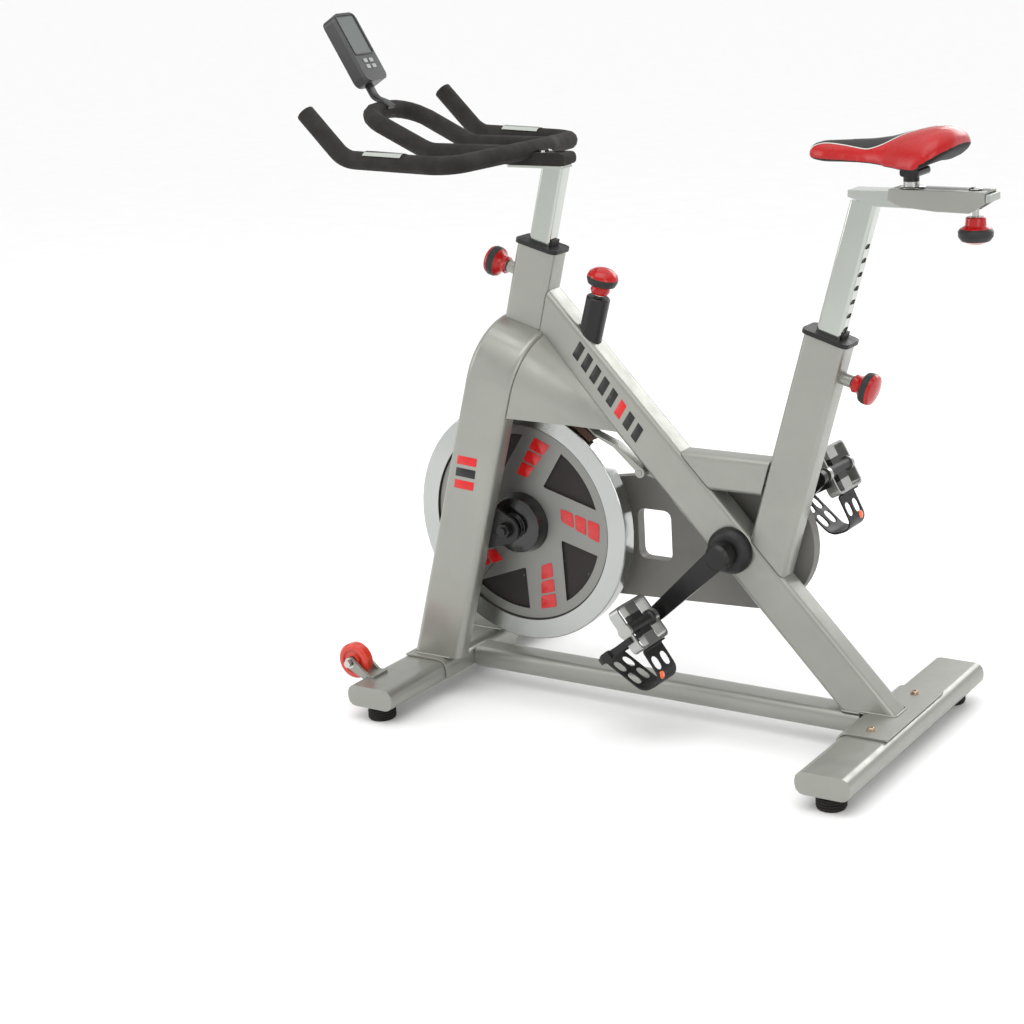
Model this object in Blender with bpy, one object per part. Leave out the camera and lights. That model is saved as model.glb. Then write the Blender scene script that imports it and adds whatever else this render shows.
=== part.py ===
"""An indoor exercise cycle: welded steel frame, belt-driven flywheel, sliding saddle and handlebar posts.

Metres, +Z up. The handlebar end is towards -X, the left side is towards -Y and the floor is z = 0.
Each leaning part is drawn upright in the frame of an empty, and the empty carries its lean.
"""

import math

import bmesh
import bpy
from mathutils import Matrix, Vector
from mathutils.geometry import convex_hull_2d

# Overall layout
ORIGIN_X = -0.00251  # brings the middle of the machine's length to x = 0
GAP = 0.0003  # clearance between pieces that touch
WHEEL_AXLE = Vector((-0.270, 0, 0.331))
CRANK_AXLE = Vector((0.1715, 0, 0.333))
CRANK_LENGTH = 0.170
CRANK_ANGLE = 43.0  # degrees below the horizontal, left crank forwards

# Floor bars, feet and lower rail
BAR_LENGTH = 0.567
BAR_DEPTH = 0.099
BAR_LOW, BAR_HIGH = 0.028, 0.068
BAR_CORNER = 0.016
FRONT_BAR_X, REAR_BAR_X = -0.449, 0.465
FOOT_Y = 0.250
FOOT_RADIUS = 0.026
PLATE = 0.004  # thickness of the saddle plates over the bars

# Frame tubes: section sizes and leans in degrees
FORK_BASE = Vector((-0.429, 0, 0.070))
FORK_LEAN = 16.3
FORK_DEPTH, FORK_WALL = 0.100, 0.040
FORK_RADIUS = 0.085  # of the centre line of the crown, and half the leg spacing
FORK_STRAIGHT = 0.563
TUBE_DEPTH, TUBE_WIDTH = 0.078, 0.050
SEAT_DEPTH = 0.079
TUBE_CORNER = 0.010
HEAD_TOP = Vector((-0.2063, 0, 0.846))
HEAD_LEAN = 15.0
HEAD_DEPTH = 0.080
HEAD_LENGTH = 0.150
DIAGONAL_AT = Vector((0.174, 0, 0.3353))
DIAGONAL_LEAN = -43.5
SEAT_TOP = Vector((0.3586, 0, 0.718))
SEAT_LEAN = 17.0
BRAKE_AT = Vector((-0.083, 0, 0.792))
BRAKE_LEAN = 16.5
PIN_DROP = 0.057  # from the top of a tube down to its pull pin

# Sliding posts
HANDLE_POST = (0.044, 0.030)
SEAT_POST = (0.046, 0.030)
POST_CORNER = 0.006
SLEEVE_LENGTH = 0.092
COLLAR_HEIGHT = 0.008
RAIL_TOP = 0.970
SLIDER_TOP = 0.974
SLIDER_STUD_X = 0.618  # the clamp stud of the saddle's slider

# Drive
WHEEL_RADIUS = 0.2255
WHEEL_LEFT, WHEEL_RIGHT = -0.026, 0.006
RIM_INNER = 0.188
SMALL_PULLEY, LARGE_PULLEY = 0.030, 0.110
BELT_LEFT, BELT_RIGHT = 0.047, 0.059
BELT_THICK = 0.004
COVER_LEFT, COVER_RIGHT = 0.042, 0.0643
COVER_WALL = 0.002
AXLE_RADIUS = 0.008
SPINDLE_RADIUS = 0.0085

# Handlebar
GRIP_RADIUS = 0.0165
ARM = ((-0.474, -0.204, 1.0200), (-0.255, -0.201, 1.0125))  # ends of the left arm's straight run


# ---------------------------------------------------------------- materials


def paint(name, colour, roughness, metallic=0.0):
    material = bpy.data.materials.new(name)
    material.use_nodes = True
    material.diffuse_color = (*colour, 1)
    shader = material.node_tree.nodes["Principled BSDF"]
    shader.inputs["Base Color"].default_value = (*colour, 1)
    shader.inputs["Roughness"].default_value = roughness
    shader.inputs["Metallic"].default_value = metallic
    return material


def make_materials():
    return {
        "frame": paint("silver_paint", (0.40, 0.40, 0.37), 0.35, 0.7),
        "chrome": paint("chrome", (0.75, 0.75, 0.75), 0.12, 1.0),
        "steel": paint("polished_steel", (0.62, 0.62, 0.62), 0.2, 1.0),
        "black": paint("black_plastic", (0.03, 0.03, 0.028), 0.45),
        "rubber": paint("rubber", (0.02, 0.02, 0.02), 0.8),
        "grip": paint("grip_rubber", (0.045, 0.04, 0.037), 0.7),
        "red": paint("red_plastic", (0.68, 0.02, 0.02), 0.3),
        "orange": paint("orange_wheel", (0.75, 0.08, 0.03), 0.3),
        "cover": paint("grey_plastic", (0.25, 0.25, 0.23), 0.45),
        "felt": paint("brown_felt", (0.15, 0.08, 0.05), 0.9),
        "key": paint("light_key", (0.6, 0.6, 0.58), 0.5),
    }


# ---------------------------------------------------------------- outlines and helpers


def arc(centre, radius, start, end, steps):
    """Points of a circular arc, angles in degrees, both ends included."""
    return [
        (
            centre[0] + radius * math.cos(math.radians(start + (end - start) * i / steps)),
            centre[1] + radius * math.sin(math.radians(start + (end - start) * i / steps)),
        )
        for i in range(steps + 1)
    ]


def circle(radius, steps=24, centre=(0, 0)):
    return arc(centre, radius, 0, 360 * (steps - 1) / steps, steps - 1)


def rounded(low_u, high_u, low_v, high_v, corner, steps=3):
    """A rectangle with round corners."""
    points = []
    for u, v, start in (
        (high_u - corner, high_v - corner, 0),
        (low_u + corner, high_v - corner, 90),
        (low_u + corner, low_v + corner, 180),
        (high_u - corner, low_v + corner, 270),
    ):
        points += arc((u, v), corner, start, start + 90, steps)
    return points


def strip(width, height):
    """A plain rectangle centred on the origin."""
    return [(u * width / 2, v * height / 2) for u, v in ((-1, -1), (1, -1), (1, 1), (-1, 1))]


def section(width, height, corner, steps=3):
    """A rounded rectangle centred on the origin."""
    return rounded(-width / 2, width / 2, -height / 2, height / 2, corner, steps)


def hull(circles, inset=0.0, steps=48):
    """The outline that a tight band round these (x, z, radius) circles would take."""
    points = [
        Vector(point)
        for x, z, radius in circles
        for point in circle(radius - inset, steps, (x, z))
    ]
    return [points[i] for i in convex_hull_2d(points)]


def rounded_path(points, radii, steps=6):
    """A path of straight runs whose inner corners are arcs of the given radii."""
    points = [Vector(point) for point in points]
    path = [points[0]]
    for before, corner, after, radius in zip(points, points[1:], points[2:], radii):
        inward = (before - corner).normalized()
        outward = (after - corner).normalized()
        half = inward.angle(outward) / 2
        centre = corner + (inward + outward).normalized() * radius / math.sin(half)
        start = corner + inward * radius / math.tan(half) - centre
        normal = outward.cross(inward)
        for i in range(steps + 1):
            turn = Matrix.Rotation((math.pi - 2 * half) * i / steps, 3, normal)
            path.append(centre + turn @ start)
    path.append(points[-1])
    return path


def pivot(name, at, lean=0.0, parent=None):
    """An empty at a joint or at the head of a leaning part."""
    empty = bpy.data.objects.new(name, None)
    empty.location = at
    empty.rotation_euler.y = math.radians(lean)
    empty.parent = parent
    bpy.context.scene.collection.objects.link(empty)
    return empty


def add(name, bm, material, parent):
    bmesh.ops.remove_doubles(bm, verts=bm.verts, dist=1e-6)
    bmesh.ops.recalc_face_normals(bm, faces=bm.faces)
    mesh = bpy.data.meshes.new(name)
    bm.to_mesh(mesh)
    bm.free()
    mesh.shade_smooth()
    mesh.set_sharp_from_angle(angle=math.radians(35))
    if material:
        mesh.materials.append(material)
    obj = bpy.data.objects.new(name, mesh)
    obj.parent = parent
    bpy.context.scene.collection.objects.link(obj)
    return obj


PLACES = {
    "X": lambda u, v, w: (w, u, v),
    "Y": lambda u, v, w: (u, w, v),
    "Z": lambda u, v, w: (u, v, w),
}


def prism(name, outline, axis, low, high, material, parent):
    """An outline extruded along a local axis from low to high."""
    bm = bmesh.new()
    face = bm.faces.new([bm.verts.new(PLACES[axis](u, v, low)) for u, v in outline])
    extruded = bmesh.ops.extrude_face_region(bm, geom=[face], use_keep_orig=True)
    moved = [item for item in extruded["geom"] if isinstance(item, bmesh.types.BMVert)]
    bmesh.ops.translate(bm, verts=moved, vec=PLACES[axis](0, 0, high - low))
    return add(name, bm, material, parent)


def turned(name, profile, axis, material, parent, at=(0, 0, 0), steps=32):
    """A (radius, distance) profile spun about a local axis. A profile clear of the axis makes a ring."""
    bm = bmesh.new()
    verts = [bm.verts.new((radius, 0, along)) for radius, along in profile]
    edges = [bm.edges.new(pair) for pair in zip(verts, verts[1:])]
    if profile[0][0] > 0:
        edges.append(bm.edges.new((verts[-1], verts[0])))
    bmesh.ops.spin(
        bm, geom=verts + edges, cent=(0, 0, 0), axis=(0, 0, 1), angle=math.tau, steps=steps, use_merge=True
    )
    turn = {"X": Matrix.Rotation(math.pi / 2, 3, "Y"), "Y": Matrix.Rotation(-math.pi / 2, 3, "X")}
    if axis in turn:
        bmesh.ops.rotate(bm, verts=bm.verts, cent=(0, 0, 0), matrix=turn[axis])
    bmesh.ops.translate(bm, verts=bm.verts, vec=at)
    return add(name, bm, material, parent)


def loft(name, rings, material, parent):
    """A closed skin through rings of equally many points, with flat ends."""
    bm = bmesh.new()
    loops = [[bm.verts.new(point) for point in ring] for ring in rings]
    for lower, upper in zip(loops, loops[1:]):
        for i in range(len(lower)):
            j = (i + 1) % len(lower)
            bm.faces.new((lower[i], lower[j], upper[j], upper[i]))
    bm.faces.new(loops[0])
    bm.faces.new(loops[-1])
    return add(name, bm, material, parent)


def sweep(name, path, outline, up, material, parent):
    """An outline carried along a path, its second axis kept towards up."""
    path = [Vector(point) for point in path]
    rings = []
    for i, point in enumerate(path):
        tangent = (path[min(i + 1, len(path) - 1)] - path[max(i - 1, 0)]).normalized()
        rise = (Vector(up) - tangent * tangent.dot(Vector(up))).normalized()
        side = tangent.cross(rise)
        rings.append([point + side * u + rise * v for u, v in outline])
    return loft(name, rings, material, parent)


def join(obj, operation, others, solver="EXACT"):
    for other in others:
        modifier = obj.modifiers.new(operation.title(), "BOOLEAN")
        modifier.operation = operation
        modifier.solver = solver
        modifier.object = other
        other.hide_render = True
        other.display_type = "WIRE"
    return obj


def cut(obj, *cutters):
    return join(obj, "DIFFERENCE", cutters)


def weld(obj, *others):
    return join(obj, "UNION", others)


def block(name, low, high, material, parent, corner=0.0, axis="Y"):
    """A box between two corners. With a corner radius, its edges along the given axis are round."""
    u, v, w = {"X": (1, 2, 0), "Y": (0, 2, 1), "Z": (0, 1, 2)}[axis]
    if corner:
        outline = rounded(low[u], high[u], low[v], high[v], corner)
    else:
        outline = [(low[u], low[v]), (high[u], low[v]), (high[u], high[v]), (low[u], high[v])]
    return prism(name, outline, axis, low[w], high[w], material, parent)


# ---------------------------------------------------------------- shared solids


def fork_shape(name, frame, grow, material=None):
    """The bent U of the fork: two legs and a round crown, drawn upright."""
    start = -0.040
    crown = [
        (0, y, FORK_STRAIGHT + z)
        for y, z in arc((0, 0), FORK_RADIUS, 180, 0, 16)
    ]
    path = [(0, -FORK_RADIUS, start), *crown, (0, FORK_RADIUS, start)]
    outline = section(FORK_WALL + 2 * grow, FORK_DEPTH + 2 * grow, 0.012 + grow)
    return sweep(name, path, outline, (1, 0, 0), material, frame)


def diagonal_shape(name, frame, grow, material=None):
    outline = section(TUBE_DEPTH + 2 * grow, TUBE_WIDTH + 2 * grow, TUBE_CORNER + grow)
    return prism(name, outline, "Z", -0.440, 0.640, material, frame)


def seat_shape(name, frame, grow, material=None):
    outline = section(SEAT_DEPTH + 2 * grow, TUBE_WIDTH + 2 * grow, TUBE_CORNER + grow)
    return prism(name, outline, "Z", -0.480, 0, material, frame)


def saddle_plate_outline(bar_x, towards, thick, overhang, drop):
    """Seen from the side: a strip over the bar's top and down the side that faces the lower rail."""
    side = BAR_DEPTH / 2
    inner = BAR_CORNER + GAP
    outer = inner + thick
    bend_u, bend_v = side - BAR_CORNER, BAR_HIGH - BAR_CORNER
    upper = arc((bend_u, bend_v), outer, 90, 0, 6)
    lower = arc((bend_u, bend_v), inner, 0, 90, 6)
    points = [
        (-overhang, BAR_HIGH + GAP + thick),
        *upper,
        (side + GAP + thick, drop),
        (side + GAP, drop),
        *lower,
        (-overhang, BAR_HIGH + GAP),
    ]
    return [(bar_x + towards * u, v) for u, v in points]


# ---------------------------------------------------------------- base


def floor_bar(name, x, paints, bike):
    low_x, high_x = x - BAR_DEPTH / 2, x + BAR_DEPTH / 2
    outline = rounded(low_x, high_x, BAR_LOW, BAR_HIGH, BAR_CORNER)
    bar = prism(name, outline, "Y", -BAR_LENGTH / 2, BAR_LENGTH / 2, paints["frame"], bike)
    for y in (-FOOT_Y, FOOT_Y):
        profile = [(0, 0), (0.0055, 0), (0.0055, 0.0485), (0, 0.0485)]
        cut(bar, turned(name + "_hole", profile, "Z", None, bike, (x, y, 0), 24))
    return bar


def levelling_foot(name, x, y, paints, bike):
    """A ribbed rubber pad on a threaded stud that screws up into the bar."""
    foot = pivot(name + "_axis", (x, y, 0), parent=bike)
    ribs = []
    for z in (0.005, 0.010, 0.015):
        ribs += [(FOOT_RADIUS, z - 0.001), (FOOT_RADIUS, z + 0.001), (FOOT_RADIUS - 0.0015, z + 0.002)]
    profile = [(0, 0), (0.024, 0), *ribs, (0.024, 0.020), (0.017, 0.024), (0.009, 0.026)]
    profile += [(0.005, 0.026), (0.005, 0.047), (0, 0.047)]
    return turned(name, profile, "Z", paints["rubber"], foot, steps=16)


def base(paints, bike):
    floor_bar("front_stabiliser", FRONT_BAR_X, paints, bike)
    floor_bar("rear_stabiliser", REAR_BAR_X, paints, bike)
    front = saddle_plate_outline(FRONT_BAR_X, 1, PLATE, 0.040, 0.036)
    rear = saddle_plate_outline(REAR_BAR_X, -1, PLATE, 0.040, 0.036)
    prism("front_saddle_plate", front, "Y", -0.118, 0.118, paints["frame"], bike)
    prism("rear_saddle_plate", rear, "Y", -0.120, 0.120, paints["frame"], bike)
    reach = BAR_DEPTH / 2 + PLATE + 2 * GAP
    rail = section(0.060, 0.040, 0.015)
    middle = (BAR_LOW + BAR_HIGH) / 2
    outline = [(u, v + middle) for u, v in rail]
    prism("lower_rail", outline, "X", FRONT_BAR_X + reach, REAR_BAR_X - reach, paints["frame"], bike)
    for end, x in (("front", FRONT_BAR_X), ("rear", REAR_BAR_X)):
        for side, y in (("left", -FOOT_Y), ("right", FOOT_Y)):
            levelling_foot(f"levelling_foot_{end}_{side}", x, y, paints, bike)


# ---------------------------------------------------------------- frame tubes


def front_fork(paints, frames):
    """The fork, cut level at its feet and bored through the crown for the handlebar post."""
    fork = fork_shape("front_fork", frames["fork"], 0, paints["frame"])
    floor = BAR_HIGH + PLATE + 2 * GAP
    ground = block("fork_ground", (-0.70, -0.2, -0.05), (-0.20, 0.2, floor), None, frames["bike"])
    bore = prism("fork_bore", section(0.072, 0.042, 0.006), "Z", -0.30, 0.01, None, frames["head"])
    return cut(fork, ground, bore)


def head_tube(paints, frames):
    outline = section(HEAD_DEPTH, TUBE_WIDTH, TUBE_CORNER)
    tube = prism("head_tube", outline, "Z", -HEAD_LENGTH, 0, paints["frame"], frames["head"])
    weld(tube, pin_boss("head_boss", -1, HEAD_DEPTH / 2, frames["head"]))
    bore = prism("head_bore", section(0.072, 0.042, 0.006), "Z", -0.20, 0.01, None, frames["head"])
    drill = pin_drill("head_drill", -1, frames["head"])
    return cut(tube, bore, drill, fork_shape("head_cope", frames["fork"], GAP))


def pin_boss(name, side, face, frame):
    low, high = face - 0.004, face + 0.020
    profile = [(0, low), (0.011, low), (0.011, high), (0, high)]
    return turned(name, [(r, side * x) for r, x in profile], "X", None, frame, (0, 0, -PIN_DROP), 24)


def pin_drill(name, side, frame):
    profile = [(0, 0.018), (0.0058, 0.018), (0.0058, 0.090), (0, 0.090)]
    return turned(name, [(r, side * x) for r, x in profile], "X", None, frame, (0, 0, -PIN_DROP), 16)


def diagonal_tube(paints, frames):
    """The main tube, coped on the head tube and crown above and on the rear plate and rail below."""
    bike = frames["bike"]
    tube = diagonal_shape("diagonal_tube", frames["diagonal"], 0, paints["frame"])
    face = HEAD_DEPTH / 2 + GAP
    ahead = block("diagonal_ahead", (-0.40, -0.1, -0.40), (face, 0.1, 0.30), None, frames["head"])
    ground = block("diagonal_ground", (0.20, -0.1, -0.05), (0.65, 0.1, BAR_HIGH + GAP), None, bike)
    plate = saddle_plate_outline(REAR_BAR_X, -1, PLATE + GAP, 0.050, 0.020)
    plate = prism("diagonal_plate", plate, "Y", -0.10, 0.10, None, bike)
    hole = turned(
        "crank_bore",
        [(0, -0.1), (0.0203, -0.1), (0.0203, 0.1), (0, 0.1)],
        "Y", None, bike, CRANK_AXLE, 32,
    )
    profile = [(0, -0.30), (0.008, -0.30), (0.008, 0), (0, 0)]
    rod = turned("rod_bore", profile, "Z", None, frames["brake"], steps=20)
    weld(tube, arm_lug(frames))
    return cut(tube, ahead, ground, plate, hole, rod, fork_shape("diagonal_cope", frames["fork"], GAP))


def seat_tube(paints, frames):
    tube = seat_shape("seat_tube", frames["seat"], 0, paints["frame"])
    weld(tube, pin_boss("seat_boss", 1, SEAT_DEPTH / 2, frames["seat"]))
    bore = prism("seat_bore", section(0.071, 0.042, 0.006), "Z", -0.375, 0.01, None, frames["seat"])
    drill = pin_drill("seat_drill", 1, frames["seat"])
    face = TUBE_DEPTH / 2 + GAP
    below = block("seat_cope", (-0.3, -0.1, -0.5), (face, 0.1, 0.5), None, frames["diagonal"])
    return cut(tube, bore, drill, below)


def cross_brace(paints, frames):
    outline = rounded(-0.024, 0.024, 0.4345, 0.499, 0.010)
    brace = prism("cross_brace", outline, "X", 0.020, 0.300, paints["frame"], frames["bike"])
    face = TUBE_DEPTH / 2 + GAP
    ahead = block("brace_cope", (-0.3, -0.1, -0.5), (face, 0.1, 0.5), None, frames["diagonal"])
    behind = block("brace_end", (-SEAT_DEPTH / 2 - GAP, -0.1, -0.5), (0.2, 0.1, 0.1), None, frames["seat"])
    return cut(brace, ahead, behind)


def fork_point(ahead, y, up):
    """A place given along the fork's depth, across it and up its legs, in the machine's own axes."""
    return FORK_BASE + Matrix.Rotation(math.radians(FORK_LEAN), 3, "Y") @ Vector((ahead, y, up))


def fork_hood(name, side, paints, frames):
    """A bent sheet from the back of the fork to the side of the diagonal tube.

    Its front edge follows the leg and the crown, its lower edge runs to a fold and on to the tube.
    """
    radius = 0.1015
    back = FORK_DEPTH / 2 + GAP
    low_up = 0.5150
    fold = Vector((-0.132, 0.047, 0.533))
    end = Vector((-0.050, 0.0245, 0.524))
    straight = [fork_point(back, radius, low_up + (FORK_STRAIGHT - low_up) * i / 3) for i in range(3)]
    crown = [
        fork_point(back, y, FORK_STRAIGHT + z) for y, z in arc((0, 0), radius, 0, 78, 12)
    ]
    front = straight + crown
    lower = [fold] * len(straight)
    lower += [fold.lerp(end, (i / 12) ** 1.3) for i in range(13)]
    steps = 4
    bm = bmesh.new()
    grid = []
    for a, b in zip(front, lower):
        row = [a.lerp(b, i / steps) for i in range(steps + 1)]
        grid.append([bm.verts.new((p.x, side * p.y, p.z)) for p in row])
    for one, two in zip(grid, grid[1:]):
        for i in range(steps):
            bm.faces.new((one[i], one[i + 1], two[i + 1], two[i]))
    bmesh.ops.remove_doubles(bm, verts=bm.verts, dist=1e-6)
    bm.normal_update()
    outward = sum((face.normal * face.calc_area() for face in bm.faces), Vector())
    if outward.y * side < 0:
        bmesh.ops.reverse_faces(bm, faces=bm.faces)
    mesh = bpy.data.meshes.new(name)
    bm.to_mesh(mesh)
    bm.free()
    mesh.materials.append(paints["frame"])
    hood = bpy.data.objects.new(name, mesh)
    hood.parent = frames["bike"]
    bpy.context.scene.collection.objects.link(hood)
    thick = hood.modifiers.new("Solidify", "SOLIDIFY")
    thick.thickness = 0.0035
    thick.offset = -1
    return cut(
        hood,
        diagonal_shape(name + "_tube", frames["diagonal"], GAP),
        fork_shape(name + "_fork", frames["fork"], GAP),
    )


def transport_wheel(name, side, paints, bike):
    """A soft wheel between two flat arms that rise from the front bar's leading edge."""
    at = Vector((-0.524, side * 0.222, 0.090))
    spin = pivot(name + "_axis", at, parent=bike)
    half = 0.011
    profile = [(0.0048, -half), (0.012, -half), (0.013, -half + 0.003), (0.020, -half + 0.003)]
    profile += [(0.022, -half), (0.030, -half), (0.0335, -half + 0.0035), (0.0335, half - 0.0035)]
    profile += [(0.030, half), (0.022, half), (0.020, half - 0.003), (0.013, half - 0.003), (0.012, half)]
    profile += [(0.0048, half)]
    turned(name, profile, "Y", paints["orange"], spin, steps=24)
    bracket = turned(
        name.replace("wheel", "bracket"),
        [(0, -0.028), (0.007, -0.028), (0.007, -0.0235), (0.0045, -0.0235), (0.0045, 0.0235),
         (0.007, 0.0235), (0.007, 0.028), (0, 0.028)],
        "Y", paints["frame"], bike, at, 14,
    )
    for y in (-0.0175, 0.0175):
        arm = hull([(at.x, at.z, 0.011), (-0.4935, 0.070, 0.006), (-0.4850, 0.0655, 0.006)], steps=16)
        weld(bracket, prism(name + "_arm", arm, "Y", at.y + y - 0.003, at.y + y + 0.003, None, bike))
    low_x = FRONT_BAR_X - BAR_DEPTH / 2
    low, high = (low_x + 0.004, at.y - 0.0205, 0.058), (low_x + 0.030, at.y + 0.0205, 0.0725)
    weld(bracket, block(name + "_foot", low, high, None, bike))
    outline = rounded(low_x - GAP, low_x + BAR_DEPTH + GAP, 0, BAR_HIGH + GAP, BAR_CORNER + GAP)
    return cut(bracket, prism(name + "_bar", outline, "Y", at.y - 0.1, at.y + 0.1, None, bike))


# ---------------------------------------------------------------- drive


def flywheel(paints, spin):
    """A heavy rim on a thinner disc with five wedge-shaped pockets."""
    left, right = WHEEL_LEFT, WHEEL_RIGHT
    profile = [
        (0.0323, left + 0.004), (RIM_INNER - 0.002, left + 0.004), (RIM_INNER, left),
        (WHEEL_RADIUS - 0.002, left), (WHEEL_RADIUS, left + 0.002), (WHEEL_RADIUS, right - 0.002),
        (WHEEL_RADIUS - 0.002, right),
        (RIM_INNER, right), (RIM_INNER - 0.004, right - 0.008), (0.0323, right - 0.008),
    ]
    wheel = turned("flywheel", profile, "Y", paints["steel"], spin, steps=60)
    for i in range(5):
        start = 56 + 72 * i
        outer = arc((0, 0), 0.168, start, start - 42, 8)
        tip = arc((0, 0), 0.090, start - 4, start - 1, 1)
        cut(wheel, prism(f"pocket_{i}", outer + tip, "Y", left - 0.01, left + 0.009, None, spin))
    return wheel


def flywheel_hub(paints, spin):
    """The black hub on the left, its barrel through the wheel and the small pulley on the right."""
    bore = AXLE_RADIUS + GAP
    face = WHEEL_LEFT + 0.004 - GAP
    profile = [
        (bore, -0.060), (0.024, -0.060), (0.025, -0.052), (0.040, -0.050), (0.052, -0.046), (0.058, face),
        (0.032, face), (0.032, 0.010), (0.022, 0.014), (0.022, BELT_LEFT - 0.002),
        (SMALL_PULLEY, BELT_LEFT - 0.002), (SMALL_PULLEY, BELT_RIGHT), (bore, BELT_RIGHT),
    ]
    return turned("flywheel_hub", profile, "Y", paints["black"], spin, steps=28)


def flywheel_axle(paints, bike):
    profile = [
        (0, -0.092), (AXLE_RADIUS, -0.092), (AXLE_RADIUS, -0.0697), (0.012, -0.0697),
        (0.012, -0.0603), (AXLE_RADIUS, -0.0603), (AXLE_RADIUS, 0.0603), (0.012, 0.0603),
        (0.012, 0.0697), (AXLE_RADIUS, 0.0697), (AXLE_RADIUS, 0.092), (0, 0.092),
    ]
    axle = turned("flywheel_axle", profile, "Y", paints["black"], bike, WHEEL_AXLE, 18)
    for side in (-1, 1):
        inner, outer = 0.0763, 0.087
        nut = circle(0.0145, 6, (WHEEL_AXLE.x, WHEEL_AXLE.z))
        low, high = sorted((side * inner, side * outer))
        weld(axle, prism("axle_nut", nut, "Y", low, high, None, bike))
    return axle


def axle_bracket(name, side, paints, frames):
    """A plate on the back of a leg that carries one end of the flywheel axle."""
    x, z = WHEEL_AXLE.x, WHEEL_AXLE.z
    outline = [(x - 0.060, z - 0.045), *arc((x, z), 0.027, -75, 75, 12)]
    outline += [(x - 0.035, z + 0.048), (x - 0.060, z + 0.048)]
    low, high = sorted((side * 0.070, side * 0.076))
    plate = prism(name, outline, "Y", low, high, paints["black"], frames["bike"])
    profile = [(0, -0.1), (AXLE_RADIUS + GAP, -0.1), (AXLE_RADIUS + GAP, 0.1), (0, 0.1)]
    hole = turned(name + "_hole", profile, "Y", None, frames["bike"], WHEEL_AXLE, 24)
    return cut(plate, hole, fork_shape(name + "_leg", frames["fork"], GAP))


PULLEYS = [
    (CRANK_AXLE.x, CRANK_AXLE.z, LARGE_PULLEY),
    (WHEEL_AXLE.x, WHEEL_AXLE.z, SMALL_PULLEY),
]
COVER = [
    (CRANK_AXLE.x, CRANK_AXLE.z, 0.128),
    (WHEEL_AXLE.x, WHEEL_AXLE.z, 0.060),
    (-0.110, 0.256, 0.062),
]
WINDOW = (-0.058, 0.012, 0.270, 0.365)


def window(grow):
    left, right, low, high = WINDOW
    return rounded(left - grow, right + grow, low - grow, high + grow, 0.014 + grow)


def axle_hole(name, centre, radius, bike):
    return turned(name, [(0, 0.03), (radius, 0.03), (radius, 0.08), (0, 0.08)], "Y", None, bike, centre, 32)


def belt_covers(paints, bike):
    """A flat inner shell on the frame's side and a dished outer shell that closes over the belt."""
    face = COVER_LEFT + COVER_WALL
    inner = prism("belt_cover_inner", hull(COVER), "Y", COVER_LEFT, face, paints["cover"], bike)
    cut(
        inner,
        prism("inner_window", window(0), "Y", 0.03, 0.08, None, bike),
        axle_hole("inner_axle_hole", (WHEEL_AXLE.x, 0, WHEEL_AXLE.z), 0.026, bike),
        axle_hole("inner_crank_hole", (CRANK_AXLE.x, 0, CRANK_AXLE.z), 0.014, bike),
    )
    outer = prism("belt_cover_outer", hull(COVER), "Y", face + GAP, COVER_RIGHT, paints["cover"], bike)
    hollow = prism("cover_hollow", hull(COVER, COVER_WALL), "Y", 0.03, COVER_RIGHT - COVER_WALL, None, bike)
    cut(hollow, prism("cover_island", window(COVER_WALL), "Y", 0.02, 0.09, None, bike))
    cut(
        outer,
        hollow,
        prism("outer_window", window(0), "Y", 0.03, 0.08, None, bike),
        axle_hole("outer_axle_hole", (WHEEL_AXLE.x, 0, WHEEL_AXLE.z), 0.0145, bike),
        axle_hole("outer_crank_hole", (CRANK_AXLE.x, 0, CRANK_AXLE.z), 0.014, bike),
    )


def drive_belt(paints, bike):
    outline = hull(PULLEYS, -BELT_THICK)
    belt = prism("drive_belt", outline, "Y", BELT_LEFT, BELT_RIGHT, paints["rubber"], bike)
    return cut(belt, prism("belt_inside", hull(PULLEYS, -GAP), "Y", 0.03, 0.08, None, bike))


def crank_pulley(paints, spin):
    left, right = BELT_LEFT - 0.0005, BELT_RIGHT
    bore = SPINDLE_RADIUS + GAP
    profile = [
        (bore, left), (0.022, left), (0.022, left + 0.004), (0.098, left + 0.004), (0.098, left),
        (LARGE_PULLEY, left), (LARGE_PULLEY, right), (0.098, right), (0.098, right - 0.004),
        (0.022, right - 0.004), (0.022, right), (bore, right),
    ]
    return turned("crank_pulley", profile, "Y", paints["black"], spin, steps=32)


def bottom_bracket(paints, bike):
    """The bearing sleeve in the tube, with its dished black cover on the left."""
    bore = SPINDLE_RADIUS + GAP
    face = -TUBE_WIDTH / 2 - GAP
    profile = [
        (bore, -0.049), (0.028, -0.049), (0.034, -0.046), (0.041, -0.038), (0.042, -0.033), (0.042, face),
        (0.020, face), (0.020, 0.036), (bore, 0.036),
    ]
    return turned("bottom_bracket", profile, "Y", paints["black"], bike, CRANK_AXLE, 32)


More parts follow.
